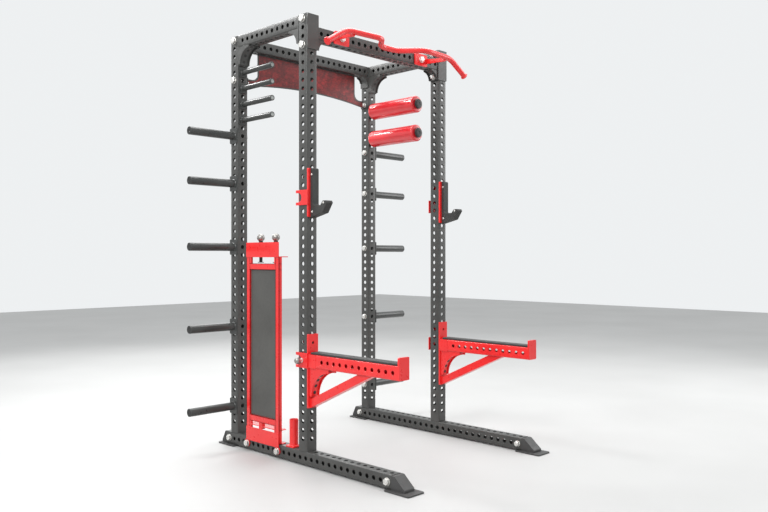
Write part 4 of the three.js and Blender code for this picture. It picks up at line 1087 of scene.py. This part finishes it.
LIFT_BALL, LIFT_STEM, LIFT_COLLAR = 0.024, 0.0118, 0.013
for which in ("rear", "front"):
    node = f"ball_pin_{which}"
    centre = (mid(node).x, mid(node).y)
    lo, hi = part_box(node)
    seat, ball_z = pin_shelf + SHELF + GAP, hi.z - LIFT_BALL
    bm = bmesh.new()
    lathe(bm, "z", centre, [
        (seat, 0), (seat, LIFT_COLLAR), (seat + 0.012, LIFT_COLLAR), (seat + 0.014, LIFT_STEM),
        (ball_z - 0.040, LIFT_STEM), (ball_z - 0.034, LIFT_COLLAR), (ball_z - 0.020, LIFT_COLLAR),
        (ball_z - 0.018, 0)], 36)
    lathe(bm, "z", centre, [
        (seat + 0.002, 0), (seat + 0.002, 0.010), (lo.z + 0.004, 0.010), (lo.z + 0.004, 0.0185),
        (lo.z + 0.0032, 0.019), (lo.z + 0.0008, 0.019), (lo.z, 0.0182), (lo.z, 0)], 36)
    piece(f"{node}_stem", bm, BLACK, node, node, bevel=0)
    bm = bmesh.new()
    ball(bm, "z", centre, ball_z, LIFT_BALL, 24, 48)
    piece(f"{node}_ball", bm, KNOB, body=node, bevel=0, smooth=60)

# thin post on the lowest shelf
bm = bmesh.new()
rod(bm, "z", (shelf_back - 0.008, y0 + 0.040), base, base + 0.170, 0.003, 16)
piece("panel_post", bm, ZINC, bevel=0)

# ---- bar holder ----
lo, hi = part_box("bar_holder")
place = mid("bar_holder")
bm = bmesh.new()
prism(bm, "z", rectangle((lo.x, hi.x), (lo.y, hi.y), 0.006), lo.z, lo.z + 0.008)
lathe(bm, "z", (place.x, place.y), [
    (lo.z + 0.007, 0), (lo.z + 0.008, 0.0295), (lo.z + 0.0115, 0.026), (hi.z - 0.001, 0.026), (hi.z, 0.0252),
    (hi.z, 0.0238), (hi.z - 0.001, 0.023), (lo.z + 0.010, 0.023), (lo.z + 0.010, 0)], 48)
piece("bar_holder_tube", bm, RED, "bar_holder", bevel=FINE)

# ---- floor and light ----
FLOOR_HALF = 14
bm = bmesh.new()
block(bm, span(0, FLOOR_HALF), span(0, FLOOR_HALF), (-0.02, -0.0005))
mesh = bpy.data.meshes.new("floor")
bm.to_mesh(mesh)
bm.free()
floor = bpy.data.objects.new("floor", mesh)
mesh.materials.append(floor_finish())
scene.collection.objects.link(floor)

world = bpy.data.worlds.new("studio")
world.use_nodes = True
fill(world.node_tree.nodes["Background"], {"Color": rgb(0.93, 0.95, 0.96), "Strength": 0.92})
scene.world = world


def softbox(name, place, target, size, power):
    data = bpy.data.lights.new(name, "AREA")
    data.shape = "RECTANGLE"
    data.size, data.size_y = size
    data.energy = power
    made = bpy.data.objects.new(name, data)
    made.location = place
    made.rotation_euler = (Vector(target) - Vector(place)).to_track_quat("-Z", "Y").to_euler()
    scene.collection.objects.link(made)


softbox("key", (-5.0, -1.8, 4.2), (0, 0, 1.1), (3.0, 2.0), 190)
softbox("top", (0.5, 0.8, 5.2), (0, 0.2, 1.0), (4.0, 4.0), 220)
softbox("streak", (-1.6, 2.8, 4.3), (0.57, 0.1, 2.15), (1.2, 0.4), 90)
softbox("right", (5.0, -2.0, 3.0), (0, 0, 1.2), (2.5, 3.0), 100)
softbox("rear", (1.5, 5.5, 3.2), (0, 0.3, 1.2), (4.0, 2.5), 110)
